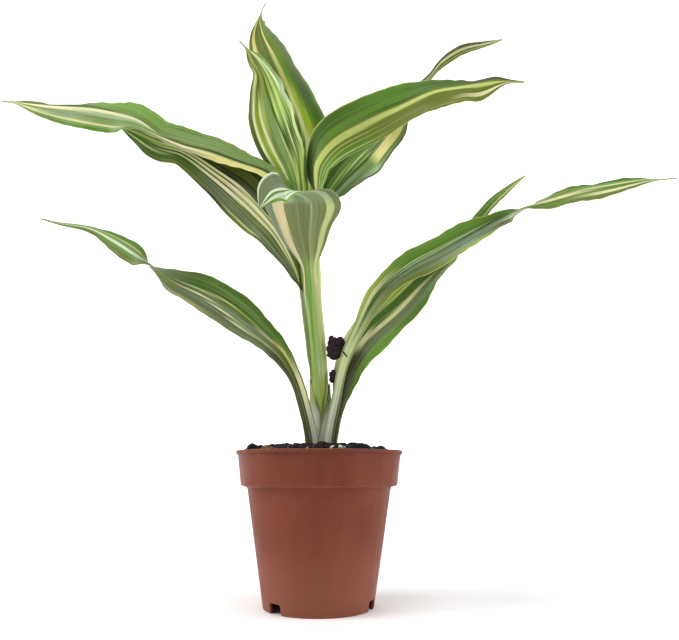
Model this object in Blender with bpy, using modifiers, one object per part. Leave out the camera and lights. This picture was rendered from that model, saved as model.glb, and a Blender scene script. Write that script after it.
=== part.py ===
"""A variegated lucky bamboo in a round plastic nursery pot.

Run with: blender --background --python part.py

Sizes are in millimetres until a mesh is made, and every mesh is in metres, +Z up. The origin is the centre of
the pot's foot on the surface it stands on. +X is to the right and -Y is to the front.
"""

import math
import random
from dataclasses import dataclass

import bmesh
import bpy
import numpy as np
from mathutils import Vector

MM = 0.001
GAP = 0.3
MERGE = 0.00002

# Pot, from the lip down to the foot
POT_HEIGHT = 88.0
LIP_RADIUS = 50.0
LIP_DEPTH = 2.3
BAND_TOP_RADIUS = 48.8
BAND_FOOT_RADIUS = 46.7
BAND_FOOT_HEIGHT = 68.2
STEP_HEIGHT = 66.6
LEDGE_RISE = 0.8
WALL_TOP_RADIUS = 42.8
WALL_FOOT_RADIUS = 31.9
FOOT_BEVEL = 0.5
WALL = 1.5
FLOOR_HEIGHT = 6.0
FLOOR_THICKNESS = 1.6
LIP_ROUND = 0.5
LIP_DRAFT = 0.3
BAND_CHAMFER = 0.7
POT_STEPS = 48

# Drain notches in the foot ring and drain holes in the raised floor
NOTCH_BEARINGS = (-135.5, -21.0, 102.0)
NOTCH_WIDTH = 9.0
NOTCH_HEIGHT = 5.8
NOTCH_CUT_DEPTH = 8.0
DRAIN_HOLES = 6
DRAIN_RADIUS = 3.0
DRAIN_RING_RADIUS = 19.0
DRAIN_SIDES = 16
DRAIN_CUT_LENGTH = 6.0

# Soil mound and its crumbs
SOIL_EDGE_HEIGHT = 87.0
SOIL_CROWN_HEIGHT = 89.8
SOIL_RING_RADII = (11.0, 22.0, 33.0)
SOIL_STEPS = 36
CRUMB_COUNT = 70
CRUMB_TRIES = 4000
CRUMB_SEED = 11
CRUMB_SIZES = (1.7, 3.3)
CRUMB_REACH = 46.3
CRUMB_SINK = 0.3
CRUMB_SPACING = 1.12
CRUMB_FLATNESS = (0.6, 0.85)
CRUMB_ROUGHNESS = (0.78, 1.18)
CRUMB_TILT = 0.4
CRUMB_NARROWEST = 0.75

# Lumps of soil caught beside the cane: middle, half sizes and seed
CLUMPS = {
    "soil_clump_upper": ((10.2, -6.6, 150.8), (7.0, 4.6, 8.4), 3),
    "soil_clump_lower": ((8.2, -3.4, 132.4), (3.4, 2.8, 4.0), 5),
}
CLUMP_LUMPS = 11
CLUMP_CORE = 0.75
CLUMP_SHELL = 0.72
CLUMP_LUMP_SIZES = (0.35, 0.5)
CLUMP_LUMP_FLATNESS = 0.9

# Cane: (x, y, z, radius) from its foot in the soil to the crown
CANE = (
    (0.0, 3.2, 80.0, 5.4),
    (0.2, 3.0, 92.0, 5.4),
    (0.1, 2.0, 111.0, 5.0),
    (0.0, 1.4, 119.0, 5.1),
    (0.0, 1.2, 121.5, 5.9),
    (-0.1, 1.0, 124.0, 5.5),
    (-0.4, 0.8, 131.0, 5.6),
    (-2.8, 0.0, 158.0, 5.9),
    (-5.4, 0.0, 182.0, 6.2),
    (-6.6, 0.0, 204.0, 6.6),
    (-8.2, 0.0, 226.0, 6.3),
    (-8.7, 0.0, 243.0, 5.4),
    (-8.8, 0.0, 248.0, 3.6),
)
CANE_HOLE_TOP = 110.0
CANE_RINGS = 28
CANE_SIDES_RESOLUTION = 5

# Blades
BLADE_EDGE = 0.6
BLADE_RIB = 1.0
STALK_RIB = 2.6
STALK_END_HEIGHT = 150.0
STALK_START_HEIGHT = 125.0
STATION_STEP = 9.0
HALF_STRIPS = 3
HUG_SLACK = 0.25
FOLD_FULL_HALF = 4.0
WAVE_FULL_HALF = 10.0


@dataclass(frozen=True)
class Leaf:
    """One leaf: where its base hugs the cane, then its free midrib from base to tip.

    hug rows are (z, bearing on the cane, half width).
    free rows are (x, y, z, half width, left lean, right lean, curl), leans in degrees from flat to the front.
    across is the direction from left to right over the blade, one for the leaf or one for each row.
    wave is (height of the margin's wave, its length, its phase in turns).
    """

    hug: tuple
    free: tuple
    across: tuple
    wave: tuple
    colour: tuple


GREEN = (0.09, 0.22, 0.05)
DEEP_GREEN = (0.05, 0.15, 0.04)
PALE_GREEN = (0.30, 0.40, 0.14)
GREY_GREEN = (0.16, 0.21, 0.09)

LEAVES = {
    "leaf_a": Leaf(
        hug=((212, 92, 1.5), (222, 92, 2.2), (236, 92, 2.4)),
        free=(
            (-10, 12.5, 262.5, 6.5, 5, 5, 5),
            (-12, 15, 282, 11, 0, 20, 10),
            (-14, 18, 304, 14, 0, 30, 10),
            (-19, 21, 328, 18, -3, 15, 10),
            (-26, 24, 357, 18, -8, 44, 8),
            (-36, 27, 380, 19, -12, 64, 5),
            (-44, 29, 396, 15, -10, 76, 0),
            (-48.5, 30, 409, 3.6, 5, 45, 0),
            (-48, 30, 417, 0.6, 0, 0, 0),
            (-45, 31, 427, 0.5, 0, 0, 0),
        ),
        across=((1, 0, 0),),
        wave=(0.7, 34, 0.1),
        colour=GREEN,
    ),
    "leaf_a2": Leaf(
        hug=((213, 141, 1.5), (223, 141, 2.2), (235, 141, 2.4)),
        free=(
            (-14.6, 7, 255.5, 6.5, -10, 45, 10),
            (-18.7, 8, 280, 16, -15, 60, 10),
            (-26, 10, 300.5, 20.5, -8, 58, 10),
            (-33, 12, 320, 19.5, -5, 55, 8),
            (-38, 14, 337, 14.5, 12, 44, 5),
            (-45, 16, 354, 11, 25, 42, 0),
            (-51, 18, 369, 5.8, 35, 36, 0),
            (-56, 19, 378, 1.2, 20, 20, 0),
            (-62, 20, 386, 0.5, 0, 0, 0),
        ),
        across=((1, 0, 0),),
        wave=(1.1, 30, 0.35),
        colour=PALE_GREEN,
    ),
    "leaf_b": Leaf(
        hug=((212, -8, 1.5), (222, -8, 2.2), (234, -8, 2.4)),
        free=(
            (-2.4, -2.6, 249, 5, -80, 60, 10),
            (-4.2, -5.5, 262, 8.5, -62, 15, 8),
            (-3, -8, 275, 12.5, -50, 0, 8),
            (8, -9.5, 290, 15, 0, -12, 8),
            (30, -12, 302, 15.5, 15, -15, 8),
            (52, -15, 311, 15, -4, 15, 8),
            (74, -18, 320, 13.5, -30, 6, 5),
            (98, -22, 322, 12, -50, 15, 0),
            (112, -24, 322, 9, -45, 7, 0),
            (123, -25, 323, 1.6, 0, 0, 0),
            (132, -26, 321.5, 0.5, 0, 0, 0),
        ),
        across=((1, 0, -1),),
        wave=(0.8, 40, 0.6),
        colour=DEEP_GREEN,
    ),
    "leaf_b2": Leaf(
        hug=((213, 42, 1.5), (223, 42, 2.2), (236, 42, 2.4)),
        free=(
            (0.5, 5.5, 249, 6, -30, 40, 10),
            (9, 7, 262, 11.5, 0, 30, 10),
            (23, 9, 281, 15.5, 30, 5, 8),
            (40, 13, 302, 15.5, 28, -10, 8),
            (58, 17, 326, 12, 10, 10, 5),
            (71, 20, 346, 4.8, 30, 25, 0),
            (80, 22, 359, 2.4, 60, 50, 0),
            (89, 24, 371, 5.8, 60, 20, 0),
            (104, 26, 382, 6, 60, 20, 0),
            (122, 27, 388, 3.2, 50, 28, 0),
            (135, 28, 393, 0.5, 0, 0, 0),
        ),
        across=((1, 0, -1),),
        wave=(0.8, 33, 0.2),
        colour=GREEN,
    ),
    "leaf_c1": Leaf(
        hug=((216, 190, 1.5), (224, 190, 2.2), (235, 190, 2.4)),
        free=(
            (-19, -1.5, 249, 5, 70, -70, 5),
            (-25, -2.5, 261, 7.5, 45, -52, 5),
            (-36, -3.5, 271, 9.5, 38, -44, 5),
            (-54, -6, 277, 11, 40, -38, 0),
            (-72, -9, 283, 12.5, 42, -28, 0),
            (-89, -12, 286, 12.5, 46, -22, 0),
            (-106, -14, 291, 12.5, 62, -18, 0),
            (-119, -15, 300, 13.5, 34, -22, 0),
            (-133, -15, 306, 15, -4, -28, 0),
            (-159, -11, 314, 15, -14, -38, 0),
            (-189, -3, 320, 8.6, -14, -38, 0),
            (-213, 6, 326.5, 1.6, 0, -10, 0),
            (-226, 10, 330, 0.5, 0, 0, 0),
        ),
        across=((1, 0, 1),),
        wave=(0.7, 38, 0.0),
        colour=GREEN,
    ),
    "leaf_c2": Leaf(
        hug=((154, 196, 1.4), (166, 196, 2.2), (182, 196, 3.2)),
        free=(
            (-15.8, -2, 202, 7.5, 35, -80, 8),
            (-26.2, -4.5, 226.5, 15, 5, -60, 8),
            (-38, -6.5, 242.5, 19.5, -8, -38, 8),
            (-52.3, -7, 257.5, 20, -12, -24, 8),
            (-66.7, -6, 268.5, 16.5, -8, -22, 5),
            (-90.6, -4, 285, 12.5, 0, -20, 0),
            (-109.5, -1, 293, 13, -12, -25, 0),
            (-126.8, 4, 302.5, 7, -15, -40, 0),
            (-140.5, 9, 309.5, 0.6, 0, 0, 0),
        ),
        across=((1, 0, 1),),
        wave=(0.9, 27, 0.5),
        colour=GREY_GREEN,
    ),
    "leaf_d": Leaf(
        hug=((128, -90, 1.6), (142, -90, 3.4), (162, -90, 4.6), (184, -90, 5.2)),
        free=(
            (-7.0, -10.0, 200, 6.5, 28, 28, 30),
            (-8.0, -15, 213, 13.5, 8, 8, 18),
            (-9.4, -22.5, 223.5, 20, 2, 2, 20),
            (-10.2, -31.5, 231.5, 24.8, 0, 0, 20),
            (-12.8, -38, 235.3, 18.5, 0, 0, 15),
            (-17.8, -42.8, 238.8, 12, 0, 0, 5),
            (-23.5, -45.8, 239.6, 13.5, 0, 0, 0),
            (-29, -47, 236, 9, 0, 0, 0),
            (-34.8, -45, 226.5, 0.6, 0, 0, 0),
        ),
        across=(
            (-1, 0, 0), (-1, 0, 0), (-1, 0, 0), (-1, 0, 0), (-1, 0, 0), (-1, 0, 0), (-1, 0, 0),
            (-1, 0, 0), (-1, 0, 0.1), (-0.9, 0.3, 0.5), (-0.5, 0.3, 1.0), (-0.7, 0.2, 0.9), (-0.8, 0, 0.6),
        ),
        wave=(0.6, 30, 0.0),
        colour=GREY_GREEN,
    ),
    "leaf_e": Leaf(
        hug=(),
        free=(
            (-4.4, -6.2, 81, 3.4, 15, 15, 0),
            (-4.6, -6.4, 94, 4.0, 15, 15, 0),
            (-9.0, -8, 114, 4.0, 20, 25, 0),
            (-14, -10, 130, 4.6, 20, 40, 0),
            (-22, -12, 146, 8, 22, 66, 0),
            (-35, -13, 158, 10.5, 32, 60, 0),
            (-52, -14, 171.5, 12.5, 15, 50, 5),
            (-71, -13, 183, 12, 20, 50, 5),
            (-90, -11, 192, 8.5, 10, 70, 0),
            (-107, -8, 203, 4.2, -70, 112, 0),
            (-120, -6, 212, 7.8, -150, 212, 0),
            (-135, -3, 222, 7.8, -150, 212, 0),
            (-152, 0, 231, 4, -130, 232, 0),
            (-172, 2, 235, 1.5, -130, 230, 0),
            (-186, 3, 239, 0.5, -130, 230, 0),
        ),
        across=((1, 0, 1),),
        wave=(0.7, 30, 0.3),
        colour=DEEP_GREEN,
    ),
    "leaf_f1": Leaf(
        hug=(),
        free=(
            (5.0, -6.4, 81, 4.0, 10, 10, 0),
            (5.2, -6.6, 94, 4.5, 10, 10, 0),
            (10.4, -8.5, 118, 3.8, 15, 15, 0),
            (16.2, -10.5, 142, 3.8, 20, 20, 0),
            (25, -13, 163, 5.5, 30, 35, 0),
            (36, -16, 183, 10, 42, 45, 0),
            (54, -19, 197, 12.5, 54, 42, 0),
            (77, -22, 209.5, 12.5, 54, 26, 0),
            (98, -23, 221.5, 11.5, 66, 22, 0),
            (113, -23, 230, 7.5, 80, 10, 0),
            (124, -22, 235, 4, 112, -68, 0),
            (141, -22, 240.5, 7.6, 150, -125, 0),
            (162, -21, 247, 9.5, 150, -134, 0),
            (184, -20, 251.5, 8.6, 150, -138, 0),
            (203, -20, 255, 3.5, 150, -150, 0),
            (213, -20, 256, 0.9, 150, -160, 0),
            (226, -20, 257, 0.5, 160, -160, 0),
        ),
        across=((1, 0, -1),),
        wave=(0.9, 36, 0.8),
        colour=GREEN,
    ),
    "leaf_f2": Leaf(
        hug=(),
        free=(
            (9.2, 1.0, 81, 3.6, -75, 85, 0),
            (9.6, 0.8, 94, 3.8, -70, 80, 0),
            (13.4, -0.6, 116, 6, -20, 58, 0),
            (20, -1.6, 141, 11, 18, 32, 0),
            (32.5, -3, 160, 14, 24, 22, 5),
            (52, -4, 177, 13.5, 15, 34, 5),
            (68, -3, 194, 12.5, 30, 56, 5),
            (82, -1, 208, 11, 40, 62, 0),
            (98, 3, 230, 8.5, 35, 55, 0),
            (113, 6, 249, 5.6, 38, 45, 0),
            (126, 8, 262, 3, 40, 40, 0),
            (139, 10, 273, 0.5, 0, 0, 0),
        ),
        across=((1, 0, -1),),
        wave=(0.8, 35, 0.4),
        colour=GREEN,
    ),
}

# Only the foot of a stalk, below this row, is in the soil, and the clumps lie against its lowest stretch
FOOT_ROWS = 3
FOOT_CLEARANCE = 5.5
CLUMP_ROWS = 6
FINE_STEP = 4.0
STALKED = ("leaf_e", "leaf_f1", "leaf_f2")
CLUMP_NEIGHBOURS = ("leaf_f1", "leaf_f2")

# Colours of the rest
POT_BROWN = (0.26, 0.085, 0.055)
SOIL_BLACK = (0.022, 0.016, 0.013)
CANE_GREEN = (0.33, 0.45, 0.16)


def make_material(name, colour, roughness):
    """A plain finish for one sub-part."""
    material = bpy.data.materials.new(name)
    material.use_nodes = True
    shader = material.node_tree.nodes["Principled BSDF"]
    shader.inputs["Base Color"].default_value = (*colour, 1.0)
    shader.inputs["Roughness"].default_value = roughness
    shader.inputs["Metallic"].default_value = 0.0
    return material


def make_object(name, mesh, collection, material=None):
    """Links a mesh to the scene as an object of its own."""
    obj = bpy.data.objects.new(name, mesh)
    collection.objects.link(obj)
    if material is not None:
        mesh.materials.append(material)
    return obj


def hide_cutter(obj):
    """Keeps a cutter out of the model."""
    obj.hide_render = True
    obj.display_type = "WIRE"
    return obj


def bake_modifiers(obj):
    """Replaces an object's mesh by its evaluated one."""
    graph = bpy.context.evaluated_depsgraph_get()
    mesh = bpy.data.meshes.new_from_object(obj.evaluated_get(graph))
    obj.modifiers.clear()
    obj.data = mesh


def smooth_shade(obj, angle=35.0):
    """Smooth shading with the hard corners kept."""
    obj.data.shade_smooth()
    obj.data.set_sharp_from_angle(angle=math.radians(angle))


def turned(name, profile, steps, collection, material):
    """A profile of (radius, height) in mm, turned about the vertical axis."""
    mesh = bpy.data.meshes.new(name)
    points = [(radius * MM, 0.0, height * MM) for radius, height in profile]
    mesh.from_pydata(points, [(i, i + 1) for i in range(len(points) - 1)], [])
    obj = make_object(name, mesh, collection, material)
    screw = obj.modifiers.new("turn", "SCREW")
    screw.steps = steps
    screw.render_steps = steps
    screw.use_merge_vertices = True
    screw.merge_threshold = MERGE
    return obj


def boolean(obj, name, operation, operand=None, group=None):
    """Adds one Boolean with an object or a collection."""
    modifier = obj.modifiers.new(name, "BOOLEAN")
    modifier.operation = operation
    if group is not None:
        modifier.operand_type = "COLLECTION"
        modifier.collection = group
    else:
        modifier.object = operand
    return modifier


def outer_wall_radius(height):
    """The pot's outer radius under the step."""
    share = height / STEP_HEIGHT
    return WALL_FOOT_RADIUS + (WALL_TOP_RADIUS - WALL_FOOT_RADIUS) * share


def make_pot(parts, cutters):
    """The pot with its raised floor, drain holes and foot notches."""
    material = make_material("terracotta_plastic", POT_BROWN, 0.55)
    floor_top = FLOOR_HEIGHT + FLOOR_THICKNESS
    profile = (
        (0.0, floor_top),
        (outer_wall_radius(floor_top) - WALL, floor_top),
        (WALL_TOP_RADIUS - WALL, STEP_HEIGHT + WALL),
        (BAND_FOOT_RADIUS - WALL, BAND_FOOT_HEIGHT + LEDGE_RISE),
        (BAND_TOP_RADIUS - WALL, POT_HEIGHT),
        (LIP_RADIUS - LIP_ROUND, POT_HEIGHT),
        (LIP_RADIUS, POT_HEIGHT - LIP_ROUND),
        (LIP_RADIUS, POT_HEIGHT - LIP_DEPTH + LIP_DRAFT),
        (BAND_TOP_RADIUS, POT_HEIGHT - LIP_DEPTH - LIP_DRAFT),
        (BAND_FOOT_RADIUS, BAND_FOOT_HEIGHT),
        (BAND_FOOT_RADIUS - BAND_CHAMFER, BAND_FOOT_HEIGHT - LEDGE_RISE),
        (WALL_TOP_RADIUS, STEP_HEIGHT),
        (outer_wall_radius(FOOT_BEVEL), FOOT_BEVEL),
        (WALL_FOOT_RADIUS - FOOT_BEVEL, 0.0),
        (WALL_FOOT_RADIUS - WALL, 0.0),
        (outer_wall_radius(FLOOR_HEIGHT) - WALL, FLOOR_HEIGHT),
        (0.0, FLOOR_HEIGHT),
    )
    pot = turned("pot", profile, POT_STEPS, parts, material)
    for index, bearing in enumerate(NOTCH_BEARINGS):
        bpy.ops.mesh.primitive_cube_add(size=1.0)
        notch = move_to(bpy.context.object, cutters)
        notch.name = f"notch_cutter_{index}"
        turn = math.radians(bearing)
        reach = WALL_FOOT_RADIUS * MM
        notch.scale = (NOTCH_CUT_DEPTH * MM, NOTCH_WIDTH * MM, 2 * NOTCH_HEIGHT * MM)
        notch.rotation_euler.z = turn
        notch.location = (reach * math.cos(turn), reach * math.sin(turn), 0.0)
        boolean(pot, f"notch_{index}", "DIFFERENCE", operand=hide_cutter(notch))
    for index in range(DRAIN_HOLES):
        turn = 2 * math.pi * index / DRAIN_HOLES
        size = {"radius": DRAIN_RADIUS * MM, "depth": DRAIN_CUT_LENGTH * MM}
        bpy.ops.mesh.primitive_cylinder_add(vertices=DRAIN_SIDES, **size)
        drill = move_to(bpy.context.object, cutters)
        drill.name = f"drain_cutter_{index}"
        ring = DRAIN_RING_RADIUS * MM
        middle = (FLOOR_HEIGHT + FLOOR_THICKNESS / 2) * MM
        drill.location = (ring * math.cos(turn), ring * math.sin(turn), middle)
        boolean(pot, f"drain_{index}", "DIFFERENCE", operand=hide_cutter(drill))
    bake_modifiers(pot)
    smooth_shade(pot)
    return pot


def move_to(obj, collection):
    """Moves an object into one collection."""
    for old in list(obj.users_collection):
        old.objects.unlink(obj)
    collection.objects.link(obj)
    return obj


def spline(knots, values, at):
    """Smooth curve through values, with slopes taken from the neighbours on both sides."""
    knots = np.asarray(knots, float)
    values = np.asarray(values, float)
    slopes = np.empty_like(values)
    slopes[1:-1] = (values[2:] - values[:-2]) / (knots[2:] - knots[:-2])[:, None]
    slopes[0] = (values[1] - values[0]) / (knots[1] - knots[0])
    slopes[-1] = (values[-1] - values[-2]) / (knots[-1] - knots[-2])
    cell = np.clip(np.searchsorted(knots, at, side="right") - 1, 0, len(knots) - 2)
    width = (knots[cell + 1] - knots[cell])[:, None]
    t = ((at - knots[cell]) / width[:, 0])[:, None]
    first = (1 + 2 * t) * (1 - t) ** 2 * values[cell] + t * (1 - t) ** 2 * width * slopes[cell]
    last = t * t * (3 - 2 * t) * values[cell + 1] + t * t * (t - 1) * width * slopes[cell + 1]
    return first + last


def unit(vectors):
    """Vectors scaled to length 1."""
    return vectors / np.linalg.norm(vectors, axis=-1, keepdims=True)


def square_to(vectors, axes):
    """Vectors with their part along the axes taken out, scaled to length 1."""
    along = np.sum(vectors * axes, axis=-1, keepdims=True)
    return unit(vectors - along * axes)


def cane_at(height):
    """The cane's middle and radius at a height."""
    rows = np.array(CANE)
    x, y, radius = (np.interp(height, rows[:, 2], rows[:, column]) for column in (0, 1, 3))
    return x, y, radius


def leaf_rows(leaf):
    """A leaf's control rows: points, half widths, directions of both halves, curls and rib thicknesses."""
    points, halves, lefts, rights, curls, ribs = [], [], [], [], [], []
    for height, bearing, half in leaf.hug:
        x, y, radius = cane_at(height)
        turn = math.radians(bearing)
        stand = radius + GAP + HUG_SLACK + BLADE_RIB / 2
        points.append((x + stand * math.cos(turn), y + stand * math.sin(turn), height))
        right = np.array((math.sin(turn), -math.cos(turn), 0.0))
        halves.append(half)
        rights.append(right)
        lefts.append(-right)
        curls.append(math.degrees(half / (radius + 1.0)))
        ribs.append(BLADE_RIB)
    free = np.array(leaf.free, float)
    first = len(points)
    points = np.array(points + [tuple(row[:3]) for row in free])
    across = np.array(leaf.across * (len(points) if len(leaf.across) == 1 else 1), float)
    course = unit(np.gradient(points, axis=0))
    for index, row in enumerate(free):
        tangent = course[first + index]
        right = square_to(across[first + index], tangent)
        front = np.cross(right, tangent)
        left_lean, right_lean = np.radians(row[4:6])
        halves.append(row[3])
        lefts.append(-right * math.cos(left_lean) + front * math.sin(left_lean))
        rights.append(right * math.cos(right_lean) + front * math.sin(right_lean))
        curls.append(row[6])
        stalk = (STALK_END_HEIGHT - row[2]) / (STALK_END_HEIGHT - STALK_START_HEIGHT)
        share = min(max(stalk, 0.0), 1.0) if not leaf.hug else 0.0
        ribs.append(BLADE_RIB + (STALK_RIB - BLADE_RIB) * share)
    return points, halves, lefts, rights, curls, ribs


def leaf_sections(leaf, step, grow=0.0, last_row=None):
    """The leaf's cross sections from base to tip, each a closed ring of points."""
    rows = [np.asarray(column, float)[:last_row] for column in leaf_rows(leaf)]
    points, halves, lefts, rights, curls, ribs = rows
    if grow:
        points[0] += grow * unit(points[0] - points[1])
    knots = np.concatenate(([0.0], np.cumsum(np.linalg.norm(np.diff(points, axis=0), axis=1))))
    count = max(int(round(knots[-1] / step)), 2)
    at = np.linspace(0.0, knots[-1], count + 1)
    table = np.column_stack((points, lefts, rights, halves, curls, ribs))
    table = spline(knots, table, at)
    tangents = unit(np.gradient(table[:, 0:3], axis=0))
    sections = []
    for row, tangent, reach in zip(table, tangents, at):
        sections.append(cross_section(row, tangent, reach, leaf.wave, grow))
    return sections


def cross_section(row, tangent, reach, wave, grow):
    """One ring of points: along the face from the left margin to the right, and back along the other face."""
    middle, left, right = row[0:3], row[3:6], row[6:9]
    half, curl, rib = max(row[9], 0.45), math.radians(row[10]), row[11]
    right = square_to(right, tangent)
    left = square_to(left, tangent)
    level = unit(right - left)
    fold = min(half / FOLD_FULL_HALF, 1.0)
    right = unit(level * (1 - fold) + right * fold)
    left = unit(-level * (1 - fold) + left * fold)
    height, length, phase = wave
    size = height * min(half / WAVE_FULL_HALF, 1.0)
    face, back = [], []
    spots = np.linspace(-1.0, 1.0, 2 * HALF_STRIPS + 1)
    middle_normal = unit(np.cross(tangent, left) + np.cross(right, tangent))
    for spot in spots:
        side, share = (left, -spot) if spot < 0 else (right, spot)
        normal = np.cross(tangent, left) if spot < 0 else np.cross(right, tangent)
        bend = curl * share
        width = half + grow
        if abs(curl) > 1e-4:
            along = width * math.sin(bend) / curl
            rise = width * (1 - math.cos(bend)) / curl
        else:
            along, rise = width * share, 0.0
        turn = 0.25 if spot < 0 else 0.0
        rise += size * share * share * math.sin(2 * math.pi * (reach / length + phase + turn))
        point = middle + side * along + normal * rise
        outward = normal * math.cos(bend) - side * math.sin(bend) if share > 0 else middle_normal
        thick = BLADE_EDGE + (rib - BLADE_EDGE) * (1 - share * share) + 2 * grow
        face.append(point + outward * thick / 2)
        back.append(point - outward * thick / 2)
    return face + back[::-1]


def loft(name, sections, collection, material):
    """A closed skin over rings of points, split into triangles the same way on both faces."""
    mesh = bpy.data.meshes.new(name)
    body = bmesh.new()
    rings = [[body.verts.new(Vector(point) * MM) for point in ring] for ring in sections]
    size = len(rings[0])
    for lower, upper in zip(rings, rings[1:]):
        for i in range(size):
            j = (i + 1) % size
            a, b, c, d = lower[i], lower[j], upper[j], upper[i]
            mirrored = i < size // 2
            pair = ((a, b, d), (b, c, d)) if mirrored else ((a, b, c), (a, c, d))
            for corners in pair:
                body.faces.new(corners)
    for ring, flip in ((rings[0], True), (rings[-1], False)):
        strips = size // 2 - 1
        for i in range(strips):
            corners = (ring[i], ring[i + 1], ring[size - 2 - i], ring[size - 1 - i])
            for triangle in (corners[:3], (corners[0], corners[2], corners[3])):
                body.faces.new(triangle[::-1] if flip else triangle)
    bmesh.ops.recalc_face_normals(body, faces=body.faces)
    body.to_mesh(mesh)
    body.free()
    return make_object(name, mesh, collection, material)


def make_leaves(parts):
    """All leaves, each lofted over its own cross sections."""
    for name, leaf in LEAVES.items():
        material = make_material(f"{name}_green", leaf.colour, 0.45)
        obj = loft(name, leaf_sections(leaf, STATION_STEP), parts, material)
        smooth_shade(obj, 50.0)


def cane_curve(name, grow, top, collection):
    """The cane as a tube whose radius follows its rows, made a mesh."""
    rows = np.array(CANE)
    knots = rows[:, 2]
    at = np.linspace(knots[0], min(knots[-1], top), CANE_RINGS)
    table = spline(knots, rows, at)
    if grow:
        table[0, 2] -= grow
    curve = bpy.data.curves.new(name, "CURVE")
    curve.dimensions = "3D"
    curve.bevel_depth = MM
    curve.bevel_resolution = CANE_SIDES_RESOLUTION
    curve.use_fill_caps = True
    line = curve.splines.new("POLY")
    line.points.add(len(table) - 1)
    for point, (x, y, z, radius) in zip(line.points, table):
        point.co = (x * MM, y * MM, z * MM, 1.0)
        point.radius = radius + grow
    tube = make_object(name, curve, collection)
    graph = bpy.context.evaluated_depsgraph_get()
    mesh = bpy.data.meshes.new_from_object(tube.evaluated_get(graph))
    welded = bmesh.new()
    welded.from_mesh(mesh)
    bmesh.ops.remove_doubles(welded, verts=welded.verts, dist=MERGE)
    bmesh.ops.recalc_face_normals(welded, faces=welded.faces)
    welded.to_mesh(mesh)
    welded.free()
    place = tube.matrix_world.copy()
    bpy.data.objects.remove(tube)
    obj = make_object(name, mesh, collection)
    obj.matrix_world = place
    return obj


def make_cane(parts):
    """The cane with its node ring."""
    cane = cane_curve("cane", 0.0, CANE[-1][2], parts)
    cane.data.materials.append(make_material("cane_green", CANE_GREEN, 0.45))
    smooth_shade(cane, 50.0)
    return cane


def add_lump(rng, where, radius, squash, collection):
    """One rough crumb: a low ball with its corners pushed in and out."""
    bpy.ops.mesh.primitive_ico_sphere_add(subdivisions=1, radius=radius * MM, location=Vector(where) * MM)
    lump = move_to(bpy.context.object, collection)
    for vertex in lump.data.vertices:
        vertex.co *= rng.uniform(*CRUMB_ROUGHNESS)
    lump.scale = (1.0, rng.uniform(CRUMB_NARROWEST, 1.0), squash)
    tilts = [rng.uniform(-CRUMB_TILT, CRUMB_TILT) for _ in range(2)]
    lump.rotation_euler = (*tilts, rng.uniform(0, math.tau))
    return lump


def fuse(body, group, solver="EXACT"):
    """Joins a collection's objects to one body, then removes them."""
    modifier = boolean(body, "fuse", "UNION", group=group)
    modifier.solver = solver
    bake_modifiers(body)
    for obj in list(group.objects):
        bpy.data.objects.remove(obj)
    bpy.data.collections.remove(group)


def soil_height(radius):
    """The mound's height at a radius, before its crumbs."""
    share = min(radius / CRUMB_REACH, 1.0)
    return SOIL_CROWN_HEIGHT + (SOIL_EDGE_HEIGHT - SOIL_CROWN_HEIGHT) * share * share


def crumb_places(rng):
    """Where the crumbs lie as (x, y, size), apart from each other and clear of what stands in the soil."""
    feet = [(row[0], row[1]) for row in (CANE[1], *(LEAVES[name].free[1] for name in STALKED))]
    places = []
    for _ in range(CRUMB_TRIES):
        size = rng.uniform(*CRUMB_SIZES)
        radius = (CRUMB_REACH - size) * math.sqrt(rng.random())
        turn = rng.uniform(0, math.tau)
        x, y = radius * math.cos(turn), radius * math.sin(turn)
        apart = all(math.hypot(x - u, y - v) > CRUMB_SPACING * (size + other) for u, v, other in places)
        clear = all(math.hypot(x - u, y - v) > FOOT_CLEARANCE + size for u, v in feet)
        if apart and clear:
            places.append((x, y, size))
        if len(places) == CRUMB_COUNT:
            break
    return places


def make_soil(parts, cutters):
    """The soil that fills the pot, with crumbs on top and plain holes for what stands in it."""
    material = make_material("dark_peat", SOIL_BLACK, 0.95)
    floor_top = FLOOR_HEIGHT + FLOOR_THICKNESS
    bottom = floor_top + GAP
    inset = WALL + GAP
    rim_radius = BAND_TOP_RADIUS - inset - GAP
    profile = [(0.0, SOIL_CROWN_HEIGHT)]
    profile += [(radius, soil_height(radius)) for radius in SOIL_RING_RADII]
    profile += [
        (rim_radius, SOIL_EDGE_HEIGHT),
        (BAND_FOOT_RADIUS - inset, BAND_FOOT_HEIGHT + LEDGE_RISE + GAP),
        (WALL_TOP_RADIUS - inset, STEP_HEIGHT + WALL + GAP),
        (outer_wall_radius(bottom) - inset, bottom),
        (0.0, bottom),
    ]
    soil = turned("soil", profile, SOIL_STEPS, parts, material)
    bake_modifiers(soil)
    rng = random.Random(CRUMB_SEED)
    crumbs = bpy.data.collections.new("crumbs")
    bpy.context.scene.collection.children.link(crumbs)
    for x, y, size in crumb_places(rng):
        height = soil_height(math.hypot(x, y)) + size * CRUMB_SINK
        add_lump(rng, (x, y, height), size, rng.uniform(*CRUMB_FLATNESS), crumbs)
    fuse(soil, crumbs)
    hole = hide_cutter(cane_curve("cane_hole", GAP, CANE_HOLE_TOP, cutters))
    boolean(soil, "cane_hole", "DIFFERENCE", operand=hole)
    for name in STALKED:
        sections = leaf_sections(LEAVES[name], FINE_STEP, grow=GAP, last_row=FOOT_ROWS)
        hole = hide_cutter(loft(f"{name}_hole", sections, cutters, None))
        boolean(soil, f"{name}_hole", "DIFFERENCE", operand=hole)
    bake_modifiers(soil)
    smooth_shade(soil, 30.0)
    return soil


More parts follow.
